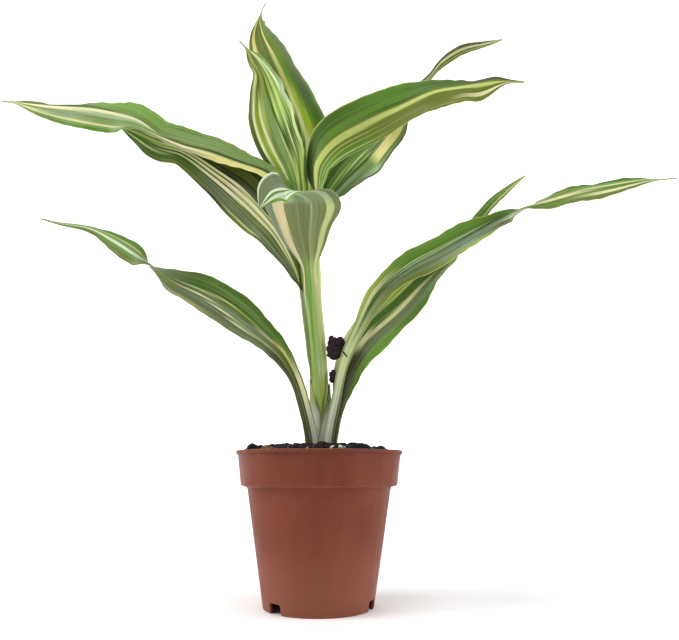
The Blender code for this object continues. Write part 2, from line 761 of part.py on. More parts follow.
def keep_largest(obj):
    """Drops the crumbs that a cut has parted from an object's main body."""
    body = bmesh.new()
    body.from_mesh(obj.data)
    left = set(body.verts)
    islands = []
    while left:
        front = [left.pop()]
        island = []
        while front:
            vertex = front.pop()
            island.append(vertex)
            near = {edge.other_vert(vertex) for edge in vertex.link_edges} & left
            left -= near
            front += near
        islands.append(island)
    islands.sort(key=len)
    for island in islands[:-1]:
        bmesh.ops.delete(body, geom=island, context="VERTS")
    body.to_mesh(obj.data)
    body.free()


def make_clumps(parts, cutters):
    """The lumps of soil caught between the cane and the right-hand stalks, cut back to clear them."""
    material = make_material("clump_peat", SOIL_BLACK, 0.95)
    seats = [hide_cutter(cane_curve("cane_seat", GAP, CANE[-1][2], cutters))]
    for name in CLUMP_NEIGHBOURS:
        sections = leaf_sections(LEAVES[name], STATION_STEP, grow=GAP, last_row=CLUMP_ROWS)
        seats.append(hide_cutter(loft(f"{name}_seat", sections, cutters, None)))
    for name, (middle, halves, seed) in CLUMPS.items():
        rng = random.Random(seed)
        bpy.ops.mesh.primitive_ico_sphere_add(subdivisions=2, radius=1.0)
        clump = move_to(bpy.context.object, parts)
        clump.name = name
        clump.data.name = name
        for vertex in clump.data.vertices:
            offset = [vertex.co[axis] * halves[axis] * CLUMP_CORE for axis in range(3)]
            vertex.co = (Vector(middle) + Vector(offset)) * MM
        clump.data.materials.append(material)
        lumps = bpy.data.collections.new(f"{name}_lumps")
        bpy.context.scene.collection.children.link(lumps)
        for _ in range(CLUMP_LUMPS):
            way = Vector([rng.gauss(0, 1) for _ in range(3)]).normalized()
            where = [middle[axis] + way[axis] * halves[axis] * CLUMP_SHELL for axis in range(3)]
            size = min(halves) * rng.uniform(*CLUMP_LUMP_SIZES)
            add_lump(rng, where, size, CLUMP_LUMP_FLATNESS, lumps)
        fuse(clump, lumps)
        for index, seat in enumerate(seats):
            boolean(clump, f"seat_{index}", "DIFFERENCE", operand=seat)
        bake_modifiers(clump)
        keep_largest(clump)
        smooth_shade(clump, 30.0)


def main():
    """Builds the potted plant."""
    for obj in list(bpy.data.objects):
        bpy.data.objects.remove(obj)
    scene = bpy.context.scene
    parts = bpy.data.collections.new("potted_lucky_bamboo")
    cutters = bpy.data.collections.new("cutters")
    scene.collection.children.link(parts)
    scene.collection.children.link(cutters)
    make_pot(parts, cutters)
    make_soil(parts, cutters)
    make_cane(parts)
    make_leaves(parts)
    make_clumps(parts, cutters)


main()
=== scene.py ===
"""The looks of a potted lucky bamboo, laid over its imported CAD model.

Sizes are in millimetres until a mesh is made, and every mesh is in metres in the CAD's frame: the origin is
the centre of the pot's foot, +X is to the right, -Y is to the front and +Z is up.
"""

import logging
import math
import random
from dataclasses import dataclass
from enum import Enum

import bmesh
import bpy
import numpy as np
from bpy.types import ID, Material, Mesh, Node, NodeOutputs, NodeSocket, NodeTree, Object
from mathutils import Euler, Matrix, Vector, noise


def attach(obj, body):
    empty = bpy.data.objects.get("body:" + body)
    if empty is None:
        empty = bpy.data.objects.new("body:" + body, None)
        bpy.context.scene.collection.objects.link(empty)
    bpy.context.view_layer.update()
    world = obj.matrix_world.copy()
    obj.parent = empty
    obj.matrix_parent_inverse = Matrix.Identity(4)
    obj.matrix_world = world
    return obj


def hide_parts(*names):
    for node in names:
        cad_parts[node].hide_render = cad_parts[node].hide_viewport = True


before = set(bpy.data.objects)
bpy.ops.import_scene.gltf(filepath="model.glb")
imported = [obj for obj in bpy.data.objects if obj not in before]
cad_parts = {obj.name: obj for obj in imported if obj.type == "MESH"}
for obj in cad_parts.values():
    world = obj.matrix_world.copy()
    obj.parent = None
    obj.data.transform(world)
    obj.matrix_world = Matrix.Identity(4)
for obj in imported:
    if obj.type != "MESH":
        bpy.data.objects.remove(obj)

Row = tuple[float, ...]
Colour = tuple[float, float, float, float]

MM = 0.001
BODY = "root"
UV_LAYER = "blade"
AXIS_RADIUS = 0.01  # of the smallest ring of a turned shape, which closes it at its middle
log = logging.getLogger("potted_lucky_bamboo")


# Small sums


def unit(vectors: np.ndarray) -> np.ndarray:
    """Vectors scaled to length 1."""
    return vectors / np.linalg.norm(vectors, axis=-1, keepdims=True)


def square_to(vectors: np.ndarray, axes: np.ndarray) -> np.ndarray:
    """Vectors with their part along the axes taken out, scaled to length 1."""
    along = np.sum(vectors * axes, axis=-1, keepdims=True)
    return unit(vectors - along * axes)


def spline(knots: np.ndarray, values: np.ndarray, at: np.ndarray) -> np.ndarray:
    """A smooth curve through values.

    Args:
        knots: where along the curve each row of values holds.
        values: one row of numbers for each knot.
        at: where along the curve to read it.

    Returns:
        One row of numbers for each place in at.
    """
    knots = np.asarray(knots, float)
    values = np.asarray(values, float)
    slopes = np.empty_like(values)
    slopes[1:-1] = (values[2:] - values[:-2]) / (knots[2:] - knots[:-2])[:, None]
    slopes[0] = (values[1] - values[0]) / (knots[1] - knots[0])
    slopes[-1] = (values[-1] - values[-2]) / (knots[-1] - knots[-2])
    cell = np.clip(np.searchsorted(knots, at, side="right") - 1, 0, len(knots) - 2)
    width = (knots[cell + 1] - knots[cell])[:, None]
    t = ((at - knots[cell]) / width[:, 0])[:, None]
    first = (1 + 2 * t) * (1 - t) ** 2 * values[cell] + t * (1 - t) ** 2 * width * slopes[cell]
    last = t * t * (3 - 2 * t) * values[cell + 1] + t * t * (t - 1) * width * slopes[cell + 1]
    return first + last


def arc_lengths(points: np.ndarray) -> np.ndarray:
    """How far along a chain of points each one lies."""
    steps = np.linalg.norm(np.diff(points, axis=0), axis=1)
    return np.concatenate(([0.0], np.cumsum(steps)))


def polar(radius: float, turn: float) -> tuple[float, float]:
    """The place at a distance and a bearing in radians, as x and y."""
    return radius * math.cos(turn), radius * math.sin(turn)


# Colours


def to_linear(part: float) -> float:
    """One part of a screen colour, from 0 to 1, as Blender's linear value."""
    return part / 12.92 if part <= 0.04045 else ((part + 0.055) / 1.055) ** 2.4


class Tint(Enum):
    """Named colours as a screen shows them: red, green and blue from 0 to 255."""

    INK_GREEN = (46, 56, 30)
    DEEP_GREEN = (54, 84, 20)
    FOREST = (70, 106, 30)
    MID_GREEN = (94, 136, 46)
    BRIGHT_GREEN = (118, 164, 62)
    FRESH_GREEN = (106, 152, 52)
    OLIVE = (108, 120, 46)
    MOSS = (86, 104, 50)
    LICHEN = (122, 130, 80)
    SOOT_GREEN = (78, 80, 58)
    KHAKI = (148, 148, 84)
    LIME = (148, 174, 46)
    YELLOW_GREEN = (172, 190, 90)
    CHARTREUSE = (192, 216, 66)
    SPRING_GREEN = (162, 200, 112)
    CELERY = (192, 204, 112)
    PALE_LIME = (206, 216, 144)
    CREAM = (236, 232, 178)
    BUTTER = (250, 248, 178)
    STRAW = (230, 220, 140)
    PEACH = (234, 218, 172)
    MIST = (164, 186, 148)
    SAGE = (136, 152, 110)
    SLATE_GREEN = (106, 120, 84)
    SEA_GREEN = (118, 148, 80)
    BLUE_GREEN = (124, 142, 116)
    FROST = (218, 228, 196)
    CHALK = (200, 204, 186)
    UMBER = (98, 70, 40)
    TERRACOTTA = (119, 55, 38)
    TERRACOTTA_PALE = (146, 90, 70)
    TERRACOTTA_DARK = (102, 45, 30)
    PEAT = (25, 23, 23)
    PEAT_BROWN = (54, 45, 41)
    PLUM = (52, 41, 45)
    BARK = (122, 92, 62)
    STONE = (138, 134, 126)
    PERLITE = (208, 205, 198)
    ROOT = (150, 124, 92)
    STUDIO = (246, 246, 246)

    @property
    def rgba(self) -> Colour:
        """The tint as a linear colour with full alpha."""
        red, green, blue = (to_linear(part / 255) for part in self.value)
        return (red, green, blue, 1.0)


# Shader nodes


Value = NodeSocket | float | tuple | Tint


class Wiring:
    """Places shader nodes in one tree and joins them."""

    def __init__(self, tree: NodeTree) -> None:
        """Keeps the tree to work in."""
        self.tree = tree

    def put(self, kind: str, values: dict[str | int, Value] | None = None, **settings: object) -> Node:
        """Places one node.

        Args:
            kind: the node's type without its ShaderNode prefix.
            values: for each input, by name or number, a plain value or the output that feeds it.
            settings: the node's own options.

        Returns:
            The node.
        """
        node = self.tree.nodes.new(f"ShaderNode{kind}")
        for key, value in settings.items():
            setattr(node, key, value)
        self.feed(node, values or {})
        return node

    def feed(self, node: Node, values: dict[str | int, Value]) -> None:
        """Sets or joins a node's inputs.

        Args:
            node: the node to feed.
            values: for each input, by name or number, a plain value or the output that feeds it.
        """
        for key, value in values.items():
            if isinstance(value, NodeSocket):
                self.tree.links.new(value, node.inputs[key])
            else:
                node.inputs[key].default_value = value.rgba if isinstance(value, Tint) else value

    def maths(self, operation: str, *values: Value) -> NodeSocket:
        """One sum of up to three numbers."""
        return self.put("Math", dict(enumerate(values)), operation=operation).outputs[0]

    def times(self, first: Value, second: Value) -> NodeSocket:
        """Two numbers multiplied."""
        return self.maths("MULTIPLY", first, second)

    def minus(self, first: Value, second: Value) -> NodeSocket:
        """The first number less the second."""
        return self.maths("SUBTRACT", first, second)

    def limit(self, value: Value) -> NodeSocket:
        """A number held between 0 and 1."""
        return self.put("Clamp", {"Value": value}).outputs[0]

    def blend(self, share: Value, first: Value, second: Value, mode: str = "MIX") -> NodeSocket:
        """Two colours mixed: share says how much of the second lies over the first."""
        values = {0: share, 6: first, 7: second}
        return self.put("Mix", values, data_type="RGBA", blend_type=mode, clamp_factor=True).outputs[2]

    def span(self, value: Value, low: float, high: float, to: Row = (0.0, 1.0)) -> NodeSocket:
        """A value eased from the range low to high onto the two numbers in to."""
        values = {"Value": value, "From Min": low, "From Max": high, "To Min": to[0], "To Max": to[1]}
        return self.put("MapRange", values, interpolation_type="SMOOTHSTEP").outputs[0]

    def grain(self, vector: Value, scale: Value, detail: float = 2.0, rough: float = 0.5) -> NodeSocket:
        """Smooth noise from 0 to 1."""
        values = {"Vector": vector, "Scale": scale, "Detail": detail, "Roughness": rough}
        return self.put("TexNoise", values).outputs["Fac"]

    def ramp(self, share: Value, stops: list[tuple[float, Tint]]) -> NodeSocket:
        """A colour picked by a value from a row of stops.

        Args:
            share: the value.
            stops: (place, tint) of each stop.

        Returns:
            The colour.
        """
        node = self.put("ValToRGB", {"Fac": share})
        elements = node.color_ramp.elements
        while len(elements) < len(stops):
            elements.new(0.5)
        for element, (place, tint) in zip(elements, stops):
            element.position = place
            element.color = tint.rgba
        return node.outputs["Color"]

    def vector(self, *parts: Value) -> NodeSocket:
        """Three numbers as one vector."""
        return self.put("CombineXYZ", dict(enumerate(parts))).outputs[0]

    def own_place(self) -> NodeSocket:
        """Where a point is on its own piece, in metres."""
        return self.put("TexCoord").outputs["Object"]

    def mark(self, name: str) -> NodeSocket:
        """A number that the mesh carries at each point."""
        return self.put("Attribute", attribute_name=name).outputs["Fac"]

    def relief(self, height: Value, strength: float, distance: float) -> NodeSocket:
        """A normal tilted by a height."""
        values = {"Height": height, "Strength": strength, "Distance": distance}
        return self.put("Bump", values).outputs["Normal"]

    def effect(self, kind: "Effect", values: dict[str | int, Value]) -> NodeOutputs:
        """Places one of the shared effects with its own values.

        Args:
            kind: the effect.
            values: for each input, by name, a plain value or the output that feeds it.

        Returns:
            What it puts out.
        """
        node = self.put("Group", node_tree=kind.group())
        self.feed(node, values)
        return node.outputs

    def flecks(self, place: Value, scale: float, amount: float) -> NodeSocket:
        """A mask of small spots."""
        return self.effect(Effect.FLECKS, {"Place": place, "Scale": scale, "Amount": amount})[0]


class Effect(Enum):
    """Shader effects that several materials share, each a node group that is built once."""

    VEIN_GRAIN = "vein_grain"
    FLECKS = "flecks"
    SOIL_DUST = "soil_dust"
    MOTTLE = "mottle"

    def group(self) -> NodeTree:
        """The effect's node group, built when it is first asked for.

        Returns:
            The group.
        """
        found = bpy.data.node_groups.get(self.value)
        if found is not None:
            return found
        builders = {
            Effect.VEIN_GRAIN: build_vein_grain,
            Effect.FLECKS: build_flecks,
            Effect.SOIL_DUST: build_soil_dust,
            Effect.MOTTLE: build_mottle,
        }
        return builders[self](self.value)


def new_group(name: str, inputs: dict[str, float | None], outputs: tuple[str, ...]) -> tuple:
    """Starts a node group.

    Args:
        name: what the group is called.
        inputs: each input's plain value, or None for a vector.
        outputs: the names of the numbers that it puts out.

    Returns:
        The group, its wiring, its inputs' sockets by name and its output node.
    """
    tree = bpy.data.node_groups.new(name, "ShaderNodeTree")
    for key, value in inputs.items():
        kind = "NodeSocketVector" if value is None else "NodeSocketFloat"
        socket = tree.interface.new_socket(key, in_out="INPUT", socket_type=kind)
        if value is not None:
            socket.default_value = value
    for key in outputs:
        tree.interface.new_socket(key, in_out="OUTPUT", socket_type="NodeSocketFloat")
    start = tree.nodes.new("NodeGroupInput")
    end = tree.nodes.new("NodeGroupOutput")
    return tree, Wiring(tree), {key: start.outputs[key] for key in inputs}, end


def build_vein_grain(name: str) -> NodeTree:
    """The fine parallel grain of a blade or sheath.

    Args:
        name: what the group is called.

    Returns:
        A group that takes the place across from 0 to 1, the place along in millimetres, a seed, how far the
        bands waver and how many veins there are, and puts out the wavering place across, soft streaks, thin
        lines and the veins' height.
    """
    inputs = {"Across": 0.5, "Along": 0.0, "Seed": 0.0, "Waver": 0.03, "Veins": 30.0}
    outputs = ("Wavered", "Streaks", "Lines", "Height")
    tree, wiring, given, end = new_group(name, inputs, outputs)
    across, along, seed = given["Across"], given["Along"], given["Seed"]
    slow = wiring.vector(wiring.times(across, 5.0), wiring.times(along, 0.022), seed)
    drift = wiring.minus(wiring.grain(slow, 1.0, 2.0), 0.5)
    wavered = wiring.maths("MULTIPLY_ADD", drift, given["Waver"], across)
    broad = wiring.vector(wiring.times(across, 16.0), wiring.times(along, 0.012), seed)
    streaks = wiring.span(wiring.grain(broad, 1.0, 3.0, 0.6), 0.36, 0.64)
    narrow = wiring.vector(wiring.times(across, 46.0), wiring.times(along, 0.007), seed)
    lines = wiring.span(wiring.grain(narrow, 1.0, 1.0), 0.5, 0.66)
    turn = wiring.times(wiring.times(across, given["Veins"]), math.tau)
    veins = wiring.maths("MULTIPLY_ADD", wiring.maths("SINE", turn), 0.5, 0.5)
    height = wiring.maths("MULTIPLY_ADD", lines, 0.6, veins)
    wiring.feed(end, {"Wavered": wavered, "Streaks": streaks, "Lines": lines, "Height": height})
    return tree


def build_flecks(name: str) -> NodeTree:
    """Small spots, few or many.

    Args:
        name: what the group is called.

    Returns:
        A group that takes a place, a scale and an amount, and puts out a mask.
    """
    tree, wiring, given, end = new_group(name, {"Place": None, "Scale": 300.0, "Amount": 0.2}, ("Mask",))
    fine = wiring.grain(given["Place"], given["Scale"], 3.0)
    edge = wiring.minus(0.8, wiring.times(given["Amount"], 0.4))
    above = wiring.times(wiring.minus(fine, edge), 18.0)
    wiring.feed(end, {"Mask": wiring.limit(above)})
    return tree


def build_soil_dust(name: str) -> NodeTree:
    """Fine soil that has settled near a height.

    Args:
        name: what the group is called.

    Returns:
        A group that takes a place, the height where the dust is thickest and how far it reaches, all in
        metres, and how much there is, and puts out a mask.
    """
    inputs = {"Place": None, "Level": 0.088, "Reach": 0.01, "Amount": 0.5}
    tree, wiring, given, end = new_group(name, inputs, ("Mask",))
    height = wiring.put("SeparateXYZ", {0: given["Place"]}).outputs[2]
    away = wiring.maths("ABSOLUTE", wiring.minus(height, given["Level"]))
    near = wiring.minus(1.0, wiring.maths("DIVIDE", away, given["Reach"]))
    near = wiring.limit(near)
    cloud = wiring.span(wiring.grain(given["Place"], 260.0, 6.0, 0.7), 0.42, 0.62)
    spots = wiring.span(wiring.grain(given["Place"], 1400.0, 2.0), 0.56, 0.64)
    thick = wiring.maths("MAXIMUM", cloud, spots)
    mask = wiring.times(wiring.times(near, thick), given["Amount"])
    wiring.feed(end, {"Mask": mask})
    return tree


def build_mottle(name: str) -> NodeTree:
    """Uneven tone at a large and a small scale.

    Args:
        name: what the group is called.

    Returns:
        A group that takes a place and a scale, and puts out a tone from 0 to 1 and a fine height.
    """
    tree, wiring, given, end = new_group(name, {"Place": None, "Scale": 60.0}, ("Tone", "Height"))
    large = wiring.grain(given["Place"], given["Scale"], 4.0)
    small = wiring.grain(given["Place"], wiring.times(given["Scale"], 14.0), 3.0)
    tone = wiring.maths("MULTIPLY_ADD", wiring.minus(small, 0.5), 0.45, wiring.span(large, 0.3, 0.7))
    wiring.feed(end, {"Tone": wiring.limit(tone), "Height": small})
    return tree


def new_material(name: str) -> tuple[Material, Wiring, Node]:
    """A new material.

    Args:
        name: what it is called.

    Returns:
        The material, its wiring and its main shader.
    """
    material = bpy.data.materials.new(name)
    material.use_nodes = True
    return material, Wiring(material.node_tree), material.node_tree.nodes["Principled BSDF"]


# Finishes


@dataclass(frozen=True)
class Stripes:
    """The colour bands over a blade at one place along it, from 0 at the base to 1 at the tip.

    bands names the tints from left to right, and between two tints says where the second one starts across
    the blade, from 0 to 1. edge is how wide the soft change between them is.
    """

    at: float
    bands: str
    edge: float = 0.018

    def stops(self) -> list[tuple[float, Tint]]:
        """The stops of a colour ramp that draws the bands with soft edges.

        Returns:
            (place, tint) of each stop.
        """
        words = self.bands.split()
        tints = [Tint[word] for word in words[::2]]
        stops = [(0.0, tints[0])]
        for start, before, tint in zip(map(float, words[1::2]), tints, tints[1:]):
            stops += [(start - self.edge / 2, before), (start + self.edge / 2, tint)]
        return stops


@dataclass(frozen=True)
class LeafFinish:
    """A variegated leaf: bands along it, fine streaks and veins, and a few brown flecks."""

    stripes: tuple[Stripes, ...]
    streak: Tint = Tint.PALE_LIME
    streak_share: float = 0.2
    shade: Tint = Tint.FOREST
    shade_share: float = 0.2
    waver: float = 0.025
    flecks: float = 0.0
    fleck_scale: float = 210.0
    reverse_tint: Tint = Tint.MIST
    reverse_share: float = 0.06
    margin: Tint = Tint.PALE_LIME
    margin_share: float = 0.5
    margin_width: float = 0.022
    roughness: float = 0.5
    specular: float = 0.18
    relief: float = 0.22
    seed: float = 0.0

    def make(self, name: str, length: float) -> Material:
        """Makes the leaf's material.

        Args:
            name: the material's name.
            length: the blade's length in millimetres.

        Returns:
            The material.
        """
        material, wiring, shader = new_material(name)
        place = wiring.put("UVMap", uv_map=UV_LAYER).outputs[0]
        parts = wiring.put("SeparateXYZ", {0: place}).outputs
        along = wiring.times(parts[1], length)
        values = {"Across": parts[0], "Along": along, "Seed": self.seed, "Waver": self.waver}
        grain = wiring.effect(Effect.VEIN_GRAIN, values)
        colour = wiring.ramp(grain["Wavered"], self.stripes[0].stops())
        for before, after in zip(self.stripes, self.stripes[1:]):
            share = wiring.span(parts[1], before.at, after.at)
            colour = wiring.blend(share, colour, wiring.ramp(grain["Wavered"], after.stops()))
        light = wiring.times(grain["Lines"], self.streak_share)
        colour = wiring.blend(light, colour, self.streak)
        dark = wiring.times(wiring.minus(1.0, grain["Streaks"]), self.shade_share)
        colour = wiring.blend(dark, colour, self.shade, "MULTIPLY")
        inset = wiring.minus(0.5, wiring.maths("ABSOLUTE", wiring.minus(parts[0], 0.5)))
        rim = wiring.span(inset, 0.0, self.margin_width, (self.margin_share, 0.0))
        colour = wiring.blend(rim, colour, self.margin)
        reverse = wiring.times(wiring.mark("reverse"), self.reverse_share)
        colour = wiring.blend(reverse, colour, self.reverse_tint)
        spots = wiring.flecks(wiring.own_place(), self.fleck_scale, self.flecks)
        colour = wiring.blend(spots, colour, Tint.UMBER)
        gloss = wiring.span(grain["Streaks"], 0.0, 1.0, (self.roughness + 0.08, self.roughness - 0.05))
        normal = wiring.relief(grain["Height"], self.relief, 0.0002)
        wiring.feed(shader, {"Base Color": colour, "Roughness": gloss, "Normal": normal,
                             "Specular IOR Level": self.specular})
        return material


@dataclass(frozen=True)
class PotFinish:
    """Matte moulded terracotta plastic, worn a little paler at its edges, with a painted highlight along the
    lip and step, and dusty with soil at the lip.

    Heights are in metres: lip and step are where it is worn paler and carries a painted highlight, and the
    last one is where the paler foot, painted bounce light from the floor, ends.
    """

    lip: float = 0.088
    step: float = 0.068
    painted_bounce_top: float = 0.055
    roughness: float = 0.5
    specular: float = 0.2
    relief: float = 0.12
    dust_reach: float = 0.006
    dust_share: float = 0.4

    def make(self, name: str) -> Material:
        """Makes the pot's material.

        Args:
            name: the material's name.

        Returns:
            The material.
        """
        material, wiring, shader = new_material(name)
        place = wiring.own_place()
        mottle = wiring.effect(Effect.MOTTLE, {"Place": place, "Scale": 34.0})
        colour = wiring.blend(mottle["Tone"], Tint.TERRACOTTA_DARK, Tint.TERRACOTTA)
        colour = wiring.blend(0.55, colour, Tint.TERRACOTTA)
        flow = wiring.put("Mapping", {"Vector": place, "Scale": (1.0, 1.0, 0.06)}).outputs[0]
        flow = wiring.span(wiring.grain(flow, 150.0, 3.0), 0.35, 0.75)
        colour = wiring.blend(wiring.times(flow, 0.14), colour, Tint.TERRACOTTA_PALE)
        height = wiring.put("SeparateXYZ", {0: place}).outputs[2]
        # painted bounce light: the foot is paler, fading out upwards, for light thrown up off the pale floor
        colour = wiring.blend(wiring.span(height, 0.0, self.painted_bounce_top, (0.5, 0.0)), colour, Tint.TERRACOTTA_PALE)
        # worn paler at the foot's edge; at the lip and step the paler ring is wear plus a painted highlight
        worn_and_highlit = self.ring(wiring, height, 0.0, 0.0016)
        for level, reach in ((self.lip, 0.0009), (self.step, 0.0007)):
            worn_and_highlit = wiring.maths("MAXIMUM", worn_and_highlit, self.ring(wiring, height, level, reach))
        broken = wiring.span(wiring.grain(place, 420.0, 4.0, 0.7), 0.3, 0.65)
        worn_and_highlit = wiring.times(wiring.times(worn_and_highlit, broken), 0.5)
        colour = wiring.blend(worn_and_highlit, colour, Tint.TERRACOTTA_PALE)
        values = {"Place": place, "Level": self.lip, "Reach": self.dust_reach, "Amount": self.dust_share}
        dust = wiring.effect(Effect.SOIL_DUST, values)[0]
        colour = wiring.blend(dust, colour, Tint.PEAT_BROWN)
        specks = wiring.flecks(place, 900.0, 0.22)
        colour = wiring.blend(wiring.times(specks, 0.35), colour, Tint.TERRACOTTA_PALE)
        rough = wiring.span(mottle["Tone"], 0.0, 1.0, (self.roughness + 0.07, self.roughness - 0.05))
        rough = wiring.maths("MULTIPLY_ADD", dust, 0.35, rough)
        normal = wiring.relief(mottle["Height"], self.relief, 0.0002)
        wiring.feed(shader, {"Base Color": colour, "Roughness": rough, "Normal": normal,
                             "Specular IOR Level": self.specular})
        return material

    @staticmethod
    def ring(wiring: Wiring, height: Value, level: float, reach: float) -> NodeSocket:
        """A mask round the pot, full at one level and gone a reach above and below it."""
        away = wiring.maths("ABSOLUTE", wiring.minus(height, level))
        return wiring.span(away, 0.0, reach, (1.0, 0.0))


@dataclass(frozen=True)
class CrumbFinish:
    """Bits of potting mix: two tones, a rough surface and a tone of its own for each bit."""

    dark: Tint = Tint.PEAT
    pale: Tint = Tint.PEAT_BROWN
    pale_share: float = 0.5
    roughness: float = 0.92
    relief: float = 0.6
    pits: float = 0.0
    specular: float = 0.15

    def make(self, name: str) -> Material:
        """Makes the material of one kind of bit.

        Args:
            name: the material's name.

        Returns:
            The material.
        """
        material, wiring, shader = new_material(name)
        place = wiring.own_place()
        mottle = wiring.effect(Effect.MOTTLE, {"Place": place, "Scale": 420.0})
        tone = wiring.times(wiring.mark("tone"), mottle["Tone"])
        colour = wiring.blend(wiring.times(tone, self.pale_share), self.dark, self.pale)
        specks = wiring.flecks(place, 2600.0, 0.3)
        colour = wiring.blend(wiring.times(specks, 0.35), colour, self.pale)
        pores = wiring.flecks(place, 1900.0, self.pits)
        colour = wiring.blend(wiring.times(pores, 0.6), colour, self.dark)
        normal = wiring.relief(mottle["Height"], self.relief, 0.0004)
        rough = wiring.span(mottle["Tone"], 0.0, 1.0, (self.roughness, self.roughness - 0.15))
        wiring.feed(shader, {"Base Color": colour, "Roughness": rough, "Normal": normal,
                             "Specular IOR Level": self.specular})
        return material


@dataclass(frozen=True)
class StudioFinish:
    """The smooth pale paper of the backdrop, which glows behind the plant so that it stays pale there."""

    glow: float = 0.6
    glow_start: float = 0.25
    glow_reach: float = 0.6

    def make(self, name: str) -> Material:
        """Makes the backdrop's material.

        Args:
            name: the material's name.

        Returns:
            The material.
        """
        material, wiring, shader = new_material(name)
        place = wiring.own_place()
        tone = wiring.span(wiring.grain(place, 2.0, 3.0), 0.3, 0.7)
        colour = wiring.blend(wiring.times(tone, 0.03), Tint.STUDIO, Tint.PERLITE)
        depth = wiring.put("SeparateXYZ", {0: place}).outputs[1]
        lit = wiring.span(depth, self.glow_start, self.glow_start + self.glow_reach)
        wiring.feed(shader, {"Base Color": colour, "Roughness": 0.9, "Specular IOR Level": 0.1})
        wiring.feed(shader, {"Emission Color": wiring.vector(lit, lit, lit), "Emission Strength": self.glow})
        return material


# Meshes


def lay_skin(name: str, rings: np.ndarray, across: np.ndarray | None = None,
             along: np.ndarray | None = None) -> Mesh:
    """A closed skin over rings of points, with both ends capped and every face outward.

    Args:
        name: the mesh's name.
        rings: points in millimetres, as rings by points round a ring by 3.
        across: the place across of each point of a ring, with one more for where the ring closes, or None for
            even steps from 0 to 1.
        along: the place along of each ring, or None for even steps from 0 to 1.

    Returns:
        The mesh, with its places across and along as a UV layer.
    """
    count, size = rings.shape[:2]
    across = np.linspace(0, 1, size + 1) if across is None else across
    along = np.linspace(0, 1, count) if along is None else along
    rows, spots = np.arange(count - 1)[:, None] * size, np.arange(size)
    first, following = (rows + spots).ravel(), (rows + (spots + 1) % size).ravel()
    faces = np.column_stack((first, following, following + size, first + size)).tolist()
    faces.append(list(range(size))[::-1])
    faces.append(list(range((count - 1) * size, count * size)))
    mesh = bpy.data.meshes.new(name)
    mesh.from_pydata((rings.reshape(-1, 3) * MM).tolist(), [], faces)
    near, left = (part.ravel() for part in np.meshgrid(along[:-1], across[:-1], indexing="ij"))
    far, right = (part.ravel() for part in np.meshgrid(along[1:], across[1:], indexing="ij"))
    corners = np.column_stack((left, near, right, near, right, far, left, far)).ravel()
    caps = np.concatenate([np.column_stack((side, np.full(size, end))).ravel()
                           for side, end in ((across[:-1][::-1], along[0]), (across[:-1], along[-1]))])
    layer = mesh.uv_layers.new(name=UV_LAYER)
    layer.uv.foreach_set("vector", np.concatenate((corners, caps)).astype(np.float32))
    body = bmesh.new()
    body.from_mesh(mesh)
    bmesh.ops.recalc_face_normals(body, faces=body.faces)
    body.to_mesh(mesh)
    body.free()
    return mesh


def carry(mesh: Mesh, name: str, numbers: np.ndarray | float) -> None:
    """Gives each point of a mesh a number that its material can read, one for each or one for all."""
    numbers = np.broadcast_to(numbers, len(mesh.vertices)).astype(np.float32)
    mesh.attributes.new(name, "FLOAT", "POINT").data.foreach_set("value", numbers)


def place_object(name: str, data: ID) -> Object:
    """Puts something in the scene.

    Args:
        name: what it is called.
        data: the mesh, light or camera.

    Returns:
        Its object.
    """
    piece = bpy.data.objects.new(name, data)
    bpy.context.scene.collection.objects.link(piece)
    return piece


def settle(name: str, mesh: Mesh, material: Material, nodes: tuple[str, ...],
           crease: float = 40.0) -> None:
    """Makes a finished mesh a piece of the model that stands for CAD nodes.

    Args:
        name: the piece's name.
        mesh: its mesh, in metres in the CAD's frame.
        material: what it wears.
        nodes: the CAD nodes that it stands for.
        crease: the angle in degrees above which an edge stays hard.
    """
    mesh.materials.clear()
    mesh.materials.append(material)
    mesh.shade_smooth()
    mesh.set_sharp_from_angle(angle=math.radians(crease))
    piece = place_object(name, mesh)
    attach(piece, BODY)
    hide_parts(*nodes)
    log.info("%s: %d faces for %s", name, len(mesh.polygons), ", ".join(nodes))


def turned_rings(profile: np.ndarray, steps: int) -> np.ndarray:
    """Rings of points turned about the vertical axis.

    Args:
        profile: rows of (radius, height).
        steps: how many points a ring has.

    Returns:
        The rings, one for each row.
    """
    turns = np.linspace(0.0, math.tau, steps, endpoint=False)
    radii, heights = profile[:, 0, None], profile[:, 1, None]
    return np.stack((radii * np.cos(turns), radii * np.sin(turns), heights + 0 * turns), axis=-1)


# Pot


